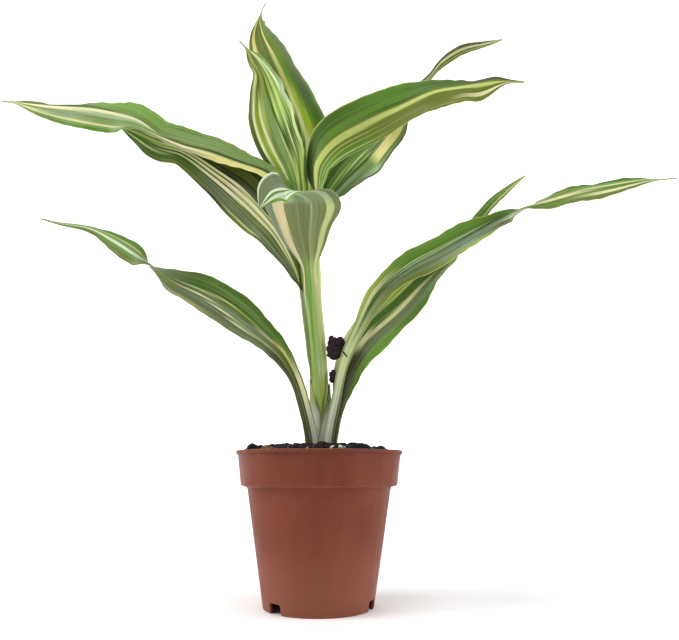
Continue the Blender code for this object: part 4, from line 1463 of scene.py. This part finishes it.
LEAVES = (
    Blade(
        "leaf_a",
        hug=((212, 92, 1.5), (222, 92, 2.2), (236, 92, 2.4)),
        free=(
            (-10, 12.5, 262.5, 6.5, 5, 5, 5), (-12, 15, 282, 11, 0, 20, 10), (-14, 18, 304, 19.5, 0, 10, 10),
            (-19, 21, 328, 18.5, -3, 34, 10), (-28, 24, 357, 17.5, -8, 61, 8),
            (-37.5, 27, 380, 17, -12, 72, 5), (-44.6, 29, 396, 13, -10, 84, 0),
            (-48.5, 30, 409, 3.6, 5, 45, 0), (-48, 30, 417, 0.6, 0, 0, 0), (-45, 31, 427, 0.5, 0, 0, 0),
        ),
        across=((1, 0, 0),),
        wave=(0.7, 34, 0.1),
        finish=LeafFinish((
            Stripes(0.28, "MID_GREEN 0.1 CREAM 0.17 MID_GREEN 0.36 PALE_LIME 0.41 MID_GREEN 0.56 BUTTER "
                          "0.66 CHARTREUSE 0.84 BRIGHT_GREEN"),
            Stripes(0.4, "MID_GREEN 0.1 CREAM 0.17 MID_GREEN 0.38 PALE_LIME 0.42 MID_GREEN 0.55 BUTTER "
                         "0.64 CHARTREUSE 0.76 BRIGHT_GREEN 0.86 MID_GREEN"),
            Stripes(0.48, "OLIVE 0.1 CREAM 0.16 MID_GREEN 0.40 PALE_LIME 0.44 MID_GREEN 0.51 BUTTER "
                          "0.59 CHARTREUSE 0.73 BRIGHT_GREEN 0.8 MID_GREEN 0.92 SEA_GREEN"),
            Stripes(0.58, "OLIVE 0.1 CREAM 0.16 MID_GREEN 0.46 BUTTER 0.54 CHARTREUSE 0.66 BRIGHT_GREEN "
                          "0.76 SLATE_GREEN 0.93 SEA_GREEN"),
            Stripes(0.68, "OLIVE 0.1 STRAW 0.17 OLIVE 0.4 BRIGHT_GREEN 0.43 STRAW 0.51 YELLOW_GREEN "
                          "0.57 MID_GREEN 0.74 OLIVE 0.84 SLATE_GREEN"),
            Stripes(0.86, "OLIVE 0.1 STRAW 0.2 OLIVE 0.46 CREAM 0.54 OLIVE 0.66 MID_GREEN 0.8 SLATE_GREEN"),
        ), streak_share=0.12, flecks=0.12, seed=3.0),
    ),
    Blade(
        "leaf_a2",
        hug=((213, 141, 1.5), (223, 141, 2.2), (235, 141, 2.4)),
        free=(
            (-14.6, 7, 255.5, 6.5, -10, 45, 10), (-18.7, 8, 280, 16, -15, 60, 10),
            (-26, 10, 300.5, 20.5, -8, 58, 10), (-33, 12, 320, 19.5, -5, 55, 8),
            (-38, 14, 337, 14.5, 12, 44, 5), (-43.2, 16, 354, 9.6, 42, 42, 0), (-51, 18, 369, 5.8, 35, 36, 0),
            (-56, 19, 378, 1.2, 20, 20, 0), (-62, 20, 386, 0.5, 0, 0, 0),
        ),
        across=((1, 0, 0),),
        wave=(1.1, 30, 0.35),
        finish=LeafFinish((
            Stripes(0.3, "OLIVE 0.12 LIME 0.22 CREAM 0.26 MID_GREEN 0.46 PALE_LIME 0.5 YELLOW_GREEN "
                         "0.64 FOREST 0.78 YELLOW_GREEN 0.92 BRIGHT_GREEN"),
            Stripes(0.48, "DEEP_GREEN 0.08 CREAM 0.13 LIME 0.22 CREAM 0.27 OLIVE 0.33 SEA_GREEN "
                          "0.46 PALE_LIME 0.49 DEEP_GREEN 0.68 PALE_LIME 0.72 DEEP_GREEN 0.9 PALE_LIME"),
            Stripes(0.62, "OLIVE 0.08 CREAM 0.13 LIME 0.21 CREAM 0.25 YELLOW_GREEN 0.34 SEA_GREEN "
                          "0.47 FOREST 0.52 CELERY 0.6 BRIGHT_GREEN 0.7 CELERY 0.78 BRIGHT_GREEN 0.9 MIST"),
            Stripes(0.76, "OLIVE 0.06 PALE_LIME 0.16 OLIVE 0.28 YELLOW_GREEN 0.42 MID_GREEN 0.5 CELERY "
                          "0.62 MID_GREEN 0.68 CELERY 0.76 BRIGHT_GREEN 0.83 FROST 0.9 SEA_GREEN"),
            Stripes(0.9, "OLIVE 0.2 YELLOW_GREEN 0.45 OLIVE 0.7 PALE_LIME 0.85 MID_GREEN"),
        ), streak_share=0.35, flecks=0.2, seed=7.0),
        ripple=(0.2, 9.0, 0.3),
    ),
    Blade(
        "leaf_b",
        hug=((212, -8, 1.5), (222, -8, 2.2), (234, -8, 2.4)),
        free=(
            (-2.4, -2.6, 249, 5, -80, 60, 10), (-4.2, -5.5, 262, 8.5, -62, 15, 8),
            (-3, -8, 275, 12.5, -50, 0, 8), (8, -9.5, 290, 15, 0, -12, 8), (30, -12, 302, 15.5, 15, -15, 8),
            (52, -15, 311, 15, -4, 15, 8), (74, -18, 320, 13.5, -30, 6, 5),
            (92, -21.5, 321.2, 11.6, -50, 15, 0), (104, -23.4, 321.8, 11.2, -52, -4, 0),
            (120, -25, 322.8, 2.2, 0, 0, 0), (132, -26, 321.5, 0.5, 0, 0, 0),
        ),
        across=((1, 0, -1),),
        wave=(0.8, 40, 0.6),
        finish=LeafFinish((
            Stripes(0.24, "MID_GREEN 0.05 INK_GREEN 0.42 OLIVE 0.48 CELERY 0.64 OLIVE 0.71 PALE_LIME "
                          "0.73 MID_GREEN 0.82 YELLOW_GREEN 0.84 MID_GREEN 0.92 PALE_LIME 0.94 MID_GREEN"),
            Stripes(0.4, "YELLOW_GREEN 0.022 FOREST 0.3 MID_GREEN 0.45 OLIVE 0.5 CELERY 0.65 OLIVE "
                         "0.71 YELLOW_GREEN 0.73 OLIVE 0.8 YELLOW_GREEN 0.82 MID_GREEN 0.92 PALE_LIME "
                         "0.94 MID_GREEN"),
            Stripes(0.6, "YELLOW_GREEN 0.022 MID_GREEN 0.38 FOREST 0.44 OLIVE 0.48 CELERY 0.61 OLIVE "
                         "0.8 KHAKI 0.82 OLIVE"),
            Stripes(0.76, "YELLOW_GREEN 0.022 FOREST 0.42 OLIVE 0.48 CELERY 0.58 OLIVE 0.9 KHAKI 0.95 OLIVE"),
            Stripes(0.9, "SOOT_GREEN 0.3 OLIVE 0.45 CELERY 0.6 OLIVE 0.74 CREAM 0.86 OLIVE"),
        ), streak_share=0.08, shade_share=0.1, seed=11.0),
    ),
    Blade(
        "leaf_b2",
        hug=((213, 42, 1.5), (223, 42, 2.2), (236, 42, 2.4)),
        free=(
            (0.5, 5.5, 249, 6, -30, 40, 10), (9, 7, 262, 11.5, 0, 30, 10), (23, 9, 281, 15.5, 30, 5, 8),
            (40, 13, 302, 13.8, 28, -40, 8), (58, 17, 326, 9.4, 10, 54, 5), (71, 20, 346, 4.8, 30, 25, 0),
            (80, 22, 359, 2.4, 60, 50, 0), (89, 24, 371, 4.4, 60, 20, 0), (104, 26, 382, 4.6, 60, 20, 0),
            (122, 27, 388, 2.4, 50, 28, 0), (135, 28, 393, 0.5, 0, 0, 0),
        ),
        across=((1, 0, -1),),
        wave=(0.8, 33, 0.2),
        finish=LeafFinish((
            Stripes(0.22, "FOREST 0.26 SAGE 0.29 MID_GREEN 0.38 PALE_LIME 0.41 MID_GREEN 0.5 SAGE "
                          "0.53 MID_GREEN 0.64 MIST 0.78 SEA_GREEN 0.97 FOREST"),
            Stripes(0.35, "FOREST 0.3 MID_GREEN 0.44 PALE_LIME 0.47 MID_GREEN 0.54 PALE_LIME 0.57 FOREST "
                          "0.64 SEA_GREEN 0.84 MIST 0.96 FOREST"),
            Stripes(0.4, "FOREST 0.5 SAGE 0.53 FOREST 0.57 SAGE 0.6 FOREST 0.62 STRAW 0.84 SEA_GREEN "
                         "0.95 SOOT_GREEN"),
            Stripes(0.5, "FOREST 0.5 SAGE 0.53 FOREST 0.58 STRAW 0.84 SEA_GREEN 0.95 SOOT_GREEN"),
            Stripes(0.58, "FOREST 0.45 YELLOW_GREEN 0.6 MID_GREEN"),
            Stripes(0.78, "SOOT_GREEN 0.26 CREAM 0.48 PALE_LIME 0.58 OLIVE 0.72 PALE_LIME 0.82 OLIVE"),
        ), shade_share=0.3, seed=15.0),
    ),
    Blade(
        "leaf_c1",
        hug=((216, 190, 1.5), (224, 190, 2.2), (235, 190, 2.4)),
        free=(
            (-19, -1.5, 249, 5, 70, -70, 5), (-25, -2.5, 261, 7.5, 45, -52, 5),
            (-36, -3.5, 271, 9.5, 38, -44, 5), (-54, -6, 277, 11, 40, -38, 0),
            (-72, -9, 283, 12.5, 42, -28, 0), (-89, -12, 286, 12.5, 46, -22, 0),
            (-106, -14, 291, 12.5, 62, -18, 0), (-119, -15, 300, 13.5, 34, -22, 0),
            (-133, -15, 306, 15, -4, -28, 0), (-159, -11, 313.4, 16, -10, -42, 0),
            (-189, -3, 319.5, 9.8, -8, -54, 0), (-213, 6, 326.5, 1.6, 0, -10, 0),
            (-226, 10, 330, 0.5, 0, 0, 0),
        ),
        across=((1, 0, 1),),
        wave=(0.7, 38, 0.0),
        finish=LeafFinish((
            # each DEEP_GREEN band next to the pale band is painted shadow under the overhanging upper half
            Stripes(0.33, "STRAW 0.26 KHAKI 0.31 DEEP_GREEN 0.42 FOREST 0.53 SEA_GREEN 0.9 MID_GREEN"),
            Stripes(0.46, "SAGE 0.14 PEACH 0.29 DEEP_GREEN 0.4 OLIVE 0.52 SEA_GREEN 0.85 MID_GREEN"),
            Stripes(0.56, "FOREST 0.06 SEA_GREEN 0.36 MIST 0.43 CREAM 0.52 DEEP_GREEN 0.54 MID_GREEN "
                          "0.66 FRESH_GREEN"),
            Stripes(0.66, "MID_GREEN 0.13 CREAM 0.17 SEA_GREEN 0.33 MIST 0.41 CREAM 0.48 DEEP_GREEN "
                          "0.51 MID_GREEN 0.7 FRESH_GREEN"),
            Stripes(0.78, "MID_GREEN 0.13 PALE_LIME 0.18 SAGE 0.37 CREAM 0.45 DEEP_GREEN 0.49 FOREST "
                          "0.7 MID_GREEN"),
            Stripes(0.9, "OLIVE 0.14 PALE_LIME 0.28 OLIVE 0.39 CREAM 0.48 DEEP_GREEN 0.55 OLIVE"),
        ), streak_share=0.38, seed=19.0),
    ),
    Blade(
        "leaf_c2",
        hug=((140, 216, 0.9), (158, 204, 2.4), (172, 193, 3.4), (184, 187, 4.6)),
        free=(
            (-15.0, -1.0, 202, 6.8, 5, -50, 8), (-26.0, -4.5, 226.5, 15.5, 5, -40, 8),
            (-38, -6.5, 242.5, 19.5, -8, -38, 8), (-52.3, -7, 257.5, 20, -12, -24, 8),
            (-66.7, -6, 268.5, 16.5, -8, -22, 5), (-90.6, -4, 285, 12.5, 0, -20, 0),
            (-109.5, -1, 293, 13, -12, -25, 0), (-126.8, 4, 302.5, 7, -15, -40, 0),
            (-140.5, 9, 309.5, 0.6, 0, 0, 0),
        ),
        across=((1, 0, 1),),
        wave=(0.9, 27, 0.5),
        finish=LeafFinish((
            # the thin INK_GREEN lines between the cream stripes are the leaf's own pattern
            # the wide dark bands on the upper half, past about 0.5, are painted shade;
            Stripes(0.24, "SLATE_GREEN 0.3 MID_GREEN 0.37 PALE_LIME 0.45 OLIVE"),
            Stripes(0.36, "SLATE_GREEN 0.12 SAGE 0.15 MOSS 0.28 INK_GREEN 0.31 CREAM 0.36 INK_GREEN "
                          "0.38 CREAM 0.44 INK_GREEN 0.52 OLIVE 0.6 INK_GREEN"),
            Stripes(0.46, "OLIVE 0.06 PALE_LIME 0.08 SLATE_GREEN 0.2 MOSS 0.3 CREAM 0.36 OLIVE 0.38 CREAM "
                          "0.45 INK_GREEN 0.47 CREAM 0.49 INK_GREEN 0.64 SOOT_GREEN"),
            Stripes(0.6, "INK_GREEN 0.05 SLATE_GREEN 0.25 INK_GREEN 0.27 CREAM 0.33 INK_GREEN 0.36 CREAM "
                         "0.42 INK_GREEN 0.45 CREAM 0.5 INK_GREEN 0.64 OLIVE 0.8 DEEP_GREEN"),
            Stripes(0.75, "OLIVE 0.1 FOREST 0.26 INK_GREEN 0.28 PALE_LIME 0.33 INK_GREEN 0.37 PALE_LIME "
                          "0.42 OLIVE 0.45 CREAM 0.51 DEEP_GREEN 0.62 OLIVE"),
            Stripes(0.9, "DEEP_GREEN 0.2 PALE_LIME 0.26 FOREST 0.42 YELLOW_GREEN 0.5 OLIVE 0.62 DEEP_GREEN"),
        ), shade_share=0.3, seed=23.0),
    ),
    Blade(
        "leaf_d",
        hug=(
            (111, -84, 0.8), (117, -88, 2.9), (124, -90, 4.6),
            (142, -90, 5.2), (162, -90, 5.6), (184, -90, 5.8),
        ),
        free=(
            (-7.0, -10.0, 200, 6.5, 28, 28, 30), (-8.7, -15, 213, 12.8, 8, 8, 18),
            (-10.3, -22.5, 223.5, 19.1, 2, 2, 20), (-10.6, -30.5, 232.0, 24.0, 0, 0, 14),
            (-11.4, -36.0, 236.2, 23.0, 0, 0, 6), (-16.5, -41.5, 238.8, 15, 0, 0, 2),
            (-22.5, -44.8, 239.4, 13.5, 0, 0, 0), (-28.6, -46.6, 236, 9.4, 0, 0, 0),
            (-34.8, -45, 226.5, 0.6, 0, 0, 0),
        ),
        across=(
            *((-1, 0, 0),) * 8, (-1, 0, 0.04), (-1, 0, 0.14), (-1, 0, 0.26), (-0.9, 0.3, 0.5),
            (-0.5, 0.3, 1.0), (-0.7, 0.2, 0.9), (-0.8, 0, 0.6),
        ),
        wave=(0.6, 30, 0.0),
        finish=LeafFinish((
            Stripes(0.02, "OLIVE 0.3 YELLOW_GREEN 0.7 OLIVE", 0.1),
            Stripes(0.096, "OLIVE 0.12 YELLOW_GREEN 0.5 SPRING_GREEN 0.84 YELLOW_GREEN 0.94 OLIVE", 0.08),
            # the FROST line from 0.4 to 0.45 in the next station is a painted sheen on the bright green
            Stripes(0.151, "YELLOW_GREEN 0.1 PALE_LIME 0.3 SPRING_GREEN 0.4 FROST 0.45 SPRING_GREEN "
                           "0.72 YELLOW_GREEN 0.88 OLIVE", 0.08),
            Stripes(0.336, "PALE_LIME 0.26 CELERY 0.34 SPRING_GREEN 0.55 BRIGHT_GREEN 0.68 SPRING_GREEN "
                           "0.86 OLIVE", 0.06),
            Stripes(0.493, "PALE_LIME 0.28 SPRING_GREEN 0.42 PALE_LIME 0.45 BRIGHT_GREEN 0.7 MID_GREEN "
                           "0.82 PEACH 0.92 SAGE", 0.04),
            Stripes(0.594, "LICHEN 0.1 PALE_LIME 0.22 LICHEN 0.4 PALE_LIME 0.42 LICHEN 0.56 SAGE 0.58 LICHEN "
                           "0.74 OLIVE 0.78 PEACH 0.93 BLUE_GREEN"),
            Stripes(0.723, "LICHEN 0.09 PALE_LIME 0.19 LICHEN 0.37 MIST 0.39 LICHEN 0.56 SAGE 0.58 LICHEN "
                           "0.7 OLIVE 0.74 PEACH 0.89 BLUE_GREEN"),
            Stripes(0.771, "LICHEN 0.09 PALE_LIME 0.19 LICHEN 0.37 MIST 0.39 LICHEN 0.56 SAGE 0.58 LICHEN "
                           "0.74 PEACH 0.89 BLUE_GREEN"),
            Stripes(0.802, "SLATE_GREEN 0.1 MIST 0.2 SAGE 0.4 MIST 0.44 SAGE 0.6 MIST 0.72 FROST "
                           "0.85 BLUE_GREEN"),
            Stripes(0.852, "MID_GREEN 0.08 FROST 0.18 SAGE 0.24 FROST 0.34 MID_GREEN 0.4 FROST "
                           "0.48 BLUE_GREEN 0.62 SLATE_GREEN 0.94 FROST"),
            Stripes(0.963, "FRESH_GREEN 0.16 FROST 0.3 MID_GREEN 0.4 FROST 0.5 SLATE_GREEN 0.92 FROST"),
        ), streak_share=0.26, shade_share=0.12, reverse_tint=Tint.SLATE_GREEN, reverse_share=0.15, seed=27.0),
        ripple=(0.0, 9.0, 0.0),
        pleat_height=0.05,
    ),
    Blade(
        "leaf_e",
        hug=(),
        free=(
            (-4.4, -6.2, 81, 3.4, 15, 15, 0), (-4.6, -6.4, 94, 4.0, 15, 15, 0),
            (-9.0, -8, 114, 4.0, 20, 25, 0), (-14, -10, 130, 4.6, 20, 40, 0), (-22, -12, 146, 8.2, 22, 60, 0),
            (-35, -13, 158, 11.2, 32, 44, 0), (-52, -14, 171.5, 12.9, 15, 34, 5),
            (-71, -13, 183, 12.2, 20, 32, 5), (-90, -11, 192, 8.7, 10, 50, 0),
            (-107, -8, 203, 4.2, -70, 112, 0), (-120, -6, 212, 7.8, -150, 212, 0),
            (-135, -3, 222, 7.2, -150, 212, 0), (-152, 0, 231, 3.0, -130, 232, 0),
            (-172, 2, 235, 1.1, -130, 230, 0), (-186, 3, 239, 0.5, -130, 230, 0),
        ),
        across=((1, 0, 1),),
        wave=(0.7, 30, 0.3),
        finish=LeafFinish((
            Stripes(0.06, "SOOT_GREEN 0.3 OLIVE 0.4 SOOT_GREEN 0.6 CHALK 0.95 OLIVE"),
            Stripes(0.18, "SOOT_GREEN 0.26 OLIVE 0.36 SOOT_GREEN 0.62 CREAM 0.92 OLIVE"),
            Stripes(0.26, "SOOT_GREEN 0.24 SAGE 0.3 OLIVE 0.46 STRAW 0.66 OLIVE 0.76 FOREST"),
            Stripes(0.31, "SLATE_GREEN 0.24 PALE_LIME 0.28 SAGE 0.44 CREAM 0.54 SAGE 0.6 FOREST"),
            Stripes(0.38, "SLATE_GREEN 0.2 CREAM 0.24 SAGE 0.38 MIST 0.4 SAGE 0.5 OLIVE 0.56 YELLOW_GREEN "
                          "0.6 FOREST"),
            Stripes(0.44, "SLATE_GREEN 0.26 SOOT_GREEN 0.3 CREAM 0.34 SAGE 0.5 OLIVE 0.58 PALE_LIME "
                          "0.62 FOREST"),
            Stripes(0.51, "KHAKI 0.1 SLATE_GREEN 0.37 CREAM 0.42 SAGE 0.53 PALE_LIME 0.58 FOREST"),
            Stripes(0.62, "SLATE_GREEN 0.2 OLIVE 0.42 SAGE 0.5 SLATE_GREEN"),
            Stripes(0.76, "MID_GREEN 0.26 PALE_LIME 0.33 SEA_GREEN 0.46 FROST 0.58 MID_GREEN 0.75 OLIVE"),
        ), reverse_share=0.03, shade_share=0.3, seed=31.0),
    ),
    Blade(
        "leaf_f1",
        hug=(),
        free=(
            (5.2, -6.4, 81, 3.3, 10, 10, 0), (5.3, -6.6, 94, 3.4, 10, 10, 0),
            (10.0, -8.5, 118, 3.0, 15, 15, 0), (15.4, -10.5, 142, 3.3, 20, 20, 0),
            (25.4, -13, 163, 5.0, 30, 35, 0), (37.4, -16, 183, 9.2, 42, 45, 0),
            (54, -19, 197, 12.5, 54, 42, 0), (77, -22, 209.5, 12.5, 54, 36, 0),
            (98, -23, 221.5, 11.5, 66, 48, 0), (113, -23, 230, 7.3, 80, 22, 0),
            (124, -22, 235, 4, 112, -68, 0), (141, -22, 240.5, 7.6, 150, -125, 0),
            (162, -21, 247, 9.5, 150, -134, 0), (184, -20, 251.5, 8.6, 150, -138, 0),
            (203, -20, 255, 3.5, 150, -150, 0), (213, -20, 256, 0.9, 150, -160, 0),
            (226, -20, 257, 0.5, 160, -160, 0),
        ),
        across=((1, 0, -1),),
        wave=(0.9, 36, 0.8),
        finish=LeafFinish((
            # the FROST middle of the next two stations is a painted highlight down the stalk
            Stripes(0.08, "SAGE 0.14 CHALK 0.3 FROST 0.5 CHALK 0.8 SOOT_GREEN", 0.05),
            Stripes(0.2, "SAGE 0.14 PALE_LIME 0.3 FROST 0.55 PALE_LIME 0.85 SAGE", 0.05),
            Stripes(0.32, "YELLOW_GREEN 0.2 CREAM 0.34 MID_GREEN 0.5 SAGE 0.75 OLIVE"),
            Stripes(0.42, "MID_GREEN 0.34 PALE_LIME 0.37 SEA_GREEN 0.42 FROST 0.44 MIST 0.62 FROST 0.64 SAGE "
                          "0.84 OLIVE"),
            Stripes(0.55, "MID_GREEN 0.38 FROST 0.42 MIST 0.66 FROST 0.69 MIST 0.78 FROST 0.81 MIST "
                          "0.92 YELLOW_GREEN"),
            Stripes(0.64, "FOREST 0.5 MIST 0.7 FROST 0.78 SAGE"),
            Stripes(0.75, "OLIVE 0.14 MID_GREEN 0.26 OLIVE 0.4 CREAM 0.54 OLIVE 0.66 MID_GREEN 0.84 OLIVE"),
            Stripes(0.87, "OLIVE 0.18 CREAM 0.32 MID_GREEN 0.5 CREAM 0.64 BRIGHT_GREEN 0.8 FOREST"),
        ), reverse_share=0.03, seed=35.0),
    ),
    Blade(
        "leaf_f2",
        hug=(),
        free=(
            (9.2, 1.0, 81, 3.6, -75, 85, 0), (9.6, 0.8, 94, 3.8, -70, 80, 0),
            (13.4, -0.6, 116, 6, -20, 58, 0), (20, -1.6, 141, 11, 18, 32, 0), (32.5, -3, 160, 14, 24, 22, 5),
            (52, -4, 177, 13.5, 15, 34, 5), (68, -3, 194, 12.5, 30, 56, 5), (82, -1, 208, 9.8, 40, 70, 0),
            (98, 3, 230, 5.4, 35, 68, 0), (113, 6, 249, 4.5, 38, 45, 0), (126, 8, 262, 2.3, 40, 40, 0),
            (139, 10, 273, 0.5, 0, 0, 0),
        ),
        across=((1, 0, -1),),
        wave=(0.8, 35, 0.4),
        finish=LeafFinish((
            Stripes(0.08, "SLATE_GREEN 0.5 SOOT_GREEN 0.8 SLATE_GREEN"),
            Stripes(0.2, "OLIVE 0.2 INK_GREEN 0.5 SOOT_GREEN 0.84 MID_GREEN"),
            Stripes(0.27, "CREAM 0.1 FOREST 0.3 PEACH 0.38 INK_GREEN 0.5 SOOT_GREEN 0.78 BRIGHT_GREEN"),
            Stripes(0.32, "CREAM 0.1 LIME 0.24 SAGE 0.27 FOREST 0.38 CREAM 0.52 SLATE_GREEN "
                          "0.78 BRIGHT_GREEN"),
            Stripes(0.38, "CREAM 0.07 LIME 0.22 SAGE 0.26 FOREST 0.47 CREAM 0.58 SLATE_GREEN "
                          "0.79 BRIGHT_GREEN"),
            Stripes(0.48, "CREAM 0.04 LIME 0.2 PALE_LIME 0.23 FOREST 0.43 CREAM 0.54 SAGE 0.58 SLATE_GREEN "
                          "0.84 MID_GREEN"),
            Stripes(0.6, "MID_GREEN 0.18 PALE_LIME 0.21 FOREST 0.46 CREAM 0.55 SLATE_GREEN 0.8 SAGE"),
            Stripes(0.74, "MID_GREEN 0.46 MIST 0.54 MID_GREEN 0.8 OLIVE"),
            Stripes(0.88, "FOREST 0.15 FRESH_GREEN 0.48 YELLOW_GREEN 0.6 PALE_LIME 0.8 OLIVE"),
        ), seed=39.0),
    ),
)


# Studio


@dataclass(frozen=True)
class Studio:
    """The pale sweep, the soft lights and the camera.

    Its sizes are in metres, and lights rows are (name, place, aim, size, power).
    """

    camera_place: Row = (0.0121, -0.400, 0.077)
    camera_pitch: float = 13.0
    lens: float = 34.303
    sensor: float = 36.0
    sweep_start: float = 0.9
    sweep_bend: float = 0.7
    sweep_height: float = 2.6
    half_width: float = 3.0
    lights: tuple[tuple[str, Row, Row, float, float], ...] = (
        ("left", (-1.6, -0.35, 1.1), (0.0, 0.0, 0.2), 1.1, 27.0),
        ("right", (1.7, -0.25, 0.8), (0.0, 0.0, 0.2), 1.1, 21.0),
        ("above", (-0.2, -0.6, 1.9), (0.0, 0.0, 0.2), 1.0, 13.0),
    )
    world: float = 0.3
    finish: StudioFinish = StudioFinish()

    def build_sweep(self) -> None:
        """The floor that bends up into a backdrop."""
        turns = np.linspace(0.0, math.pi / 2, 24)
        bend = [(self.sweep_start + self.sweep_bend * math.sin(turn), self.sweep_bend * (1 - math.cos(turn)))
                for turn in turns]
        section = [(-3.0, 0.0), (-0.5, 0.0), (0.0, 0.0), *bend, (bend[-1][0], self.sweep_height)]
        points = [(x, y, z) for y, z in section for x in (-self.half_width, self.half_width)]
        faces = [(2 * i, 2 * i + 1, 2 * i + 3, 2 * i + 2) for i in range(len(section) - 1)]
        mesh = bpy.data.meshes.new("studio_sweep")
        mesh.from_pydata(points, [], faces)
        mesh.shade_smooth()
        mesh.materials.append(self.finish.make("studio paper"))
        sweep = place_object("studio_sweep", mesh)

    def build_lights(self) -> None:
        """The soft lights and the pale surroundings."""
        for name, place, aim, size, power in self.lights:
            lamp = bpy.data.lights.new(name, "AREA")
            lamp.shape, lamp.size, lamp.energy = "SQUARE", size, power
            light = place_object(name, lamp)
            light.location = place
            light.rotation_euler = (Vector(aim) - Vector(place)).to_track_quat("-Z", "Y").to_euler()
        world = bpy.data.worlds.new("studio")
        world.use_nodes = True
        shade = world.node_tree.nodes["Background"]
        shade.inputs["Color"].default_value = (1.0, 1.0, 1.0, 1.0)
        shade.inputs["Strength"].default_value = self.world
        bpy.context.scene.world = world

    def build_camera(self) -> None:
        """The camera at the photograph's angle."""
        camera = bpy.data.cameras.new("camera")
        camera.sensor_fit, camera.sensor_width, camera.lens = "HORIZONTAL", self.sensor, self.lens
        camera.clip_start, camera.clip_end = 0.01, 20.0
        eye = place_object("camera", camera)
        eye.location = self.camera_place
        eye.rotation_euler = (math.radians(90.0 + self.camera_pitch), 0.0, 0.0)
        bpy.context.scene.camera = eye

    def build(self) -> None:
        """Sets up the studio."""
        self.build_sweep()
        self.build_lights()
        self.build_camera()
        bpy.context.scene.view_settings.view_transform = "Standard"


CLUMPS = (
    CaughtSoil(
        "caught_soil_upper", "soil_clump_upper", (10.2, -6.2, 150.3), (6.5, 4.3, 7.0),
        cores=((9.6, -6.2, 149.2, 5.4, 3.6, 5.6), (7.4, -6.0, 154.6, 3.0, 2.8, 3.4),
               (12.6, -6.0, 154.0, 3.0, 2.8, 3.4)),
        seed=3, twig=((12.2, -10.0, 149.5), (14.2, -11.6, 147.0), (16.6, -12.8, 143.4)),
        speck=(10.4, -10.2, 149.4, 0.9),
    ),
    CaughtSoil(
        "caught_soil_lower", "soil_clump_lower", (8.0, -3.6, 132.8), (2.8, 2.5, 4.4),
        cores=((8.0, -3.6, 132.8, 2.2, 2.0, 3.6),), seed=5, crumbs=30, speck=(7.9, -6.0, 131.2, 0.7),
    ),
)


def main() -> None:
    """Builds the studio and every piece of the plant in order."""
    logging.basicConfig(level=logging.INFO, format="%(name)s: %(message)s")
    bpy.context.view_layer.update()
    Studio().build()
    Pot().build()
    PottingMix().build()
    cane = Cane()
    cane.build()
    for sheath in SHEATHS:
        sheath.build(cane)
    for leaf in LEAVES:
        leaf.build(cane)
    for clump in CLUMPS:
        clump.build()


if __name__ == "__main__":
    main()
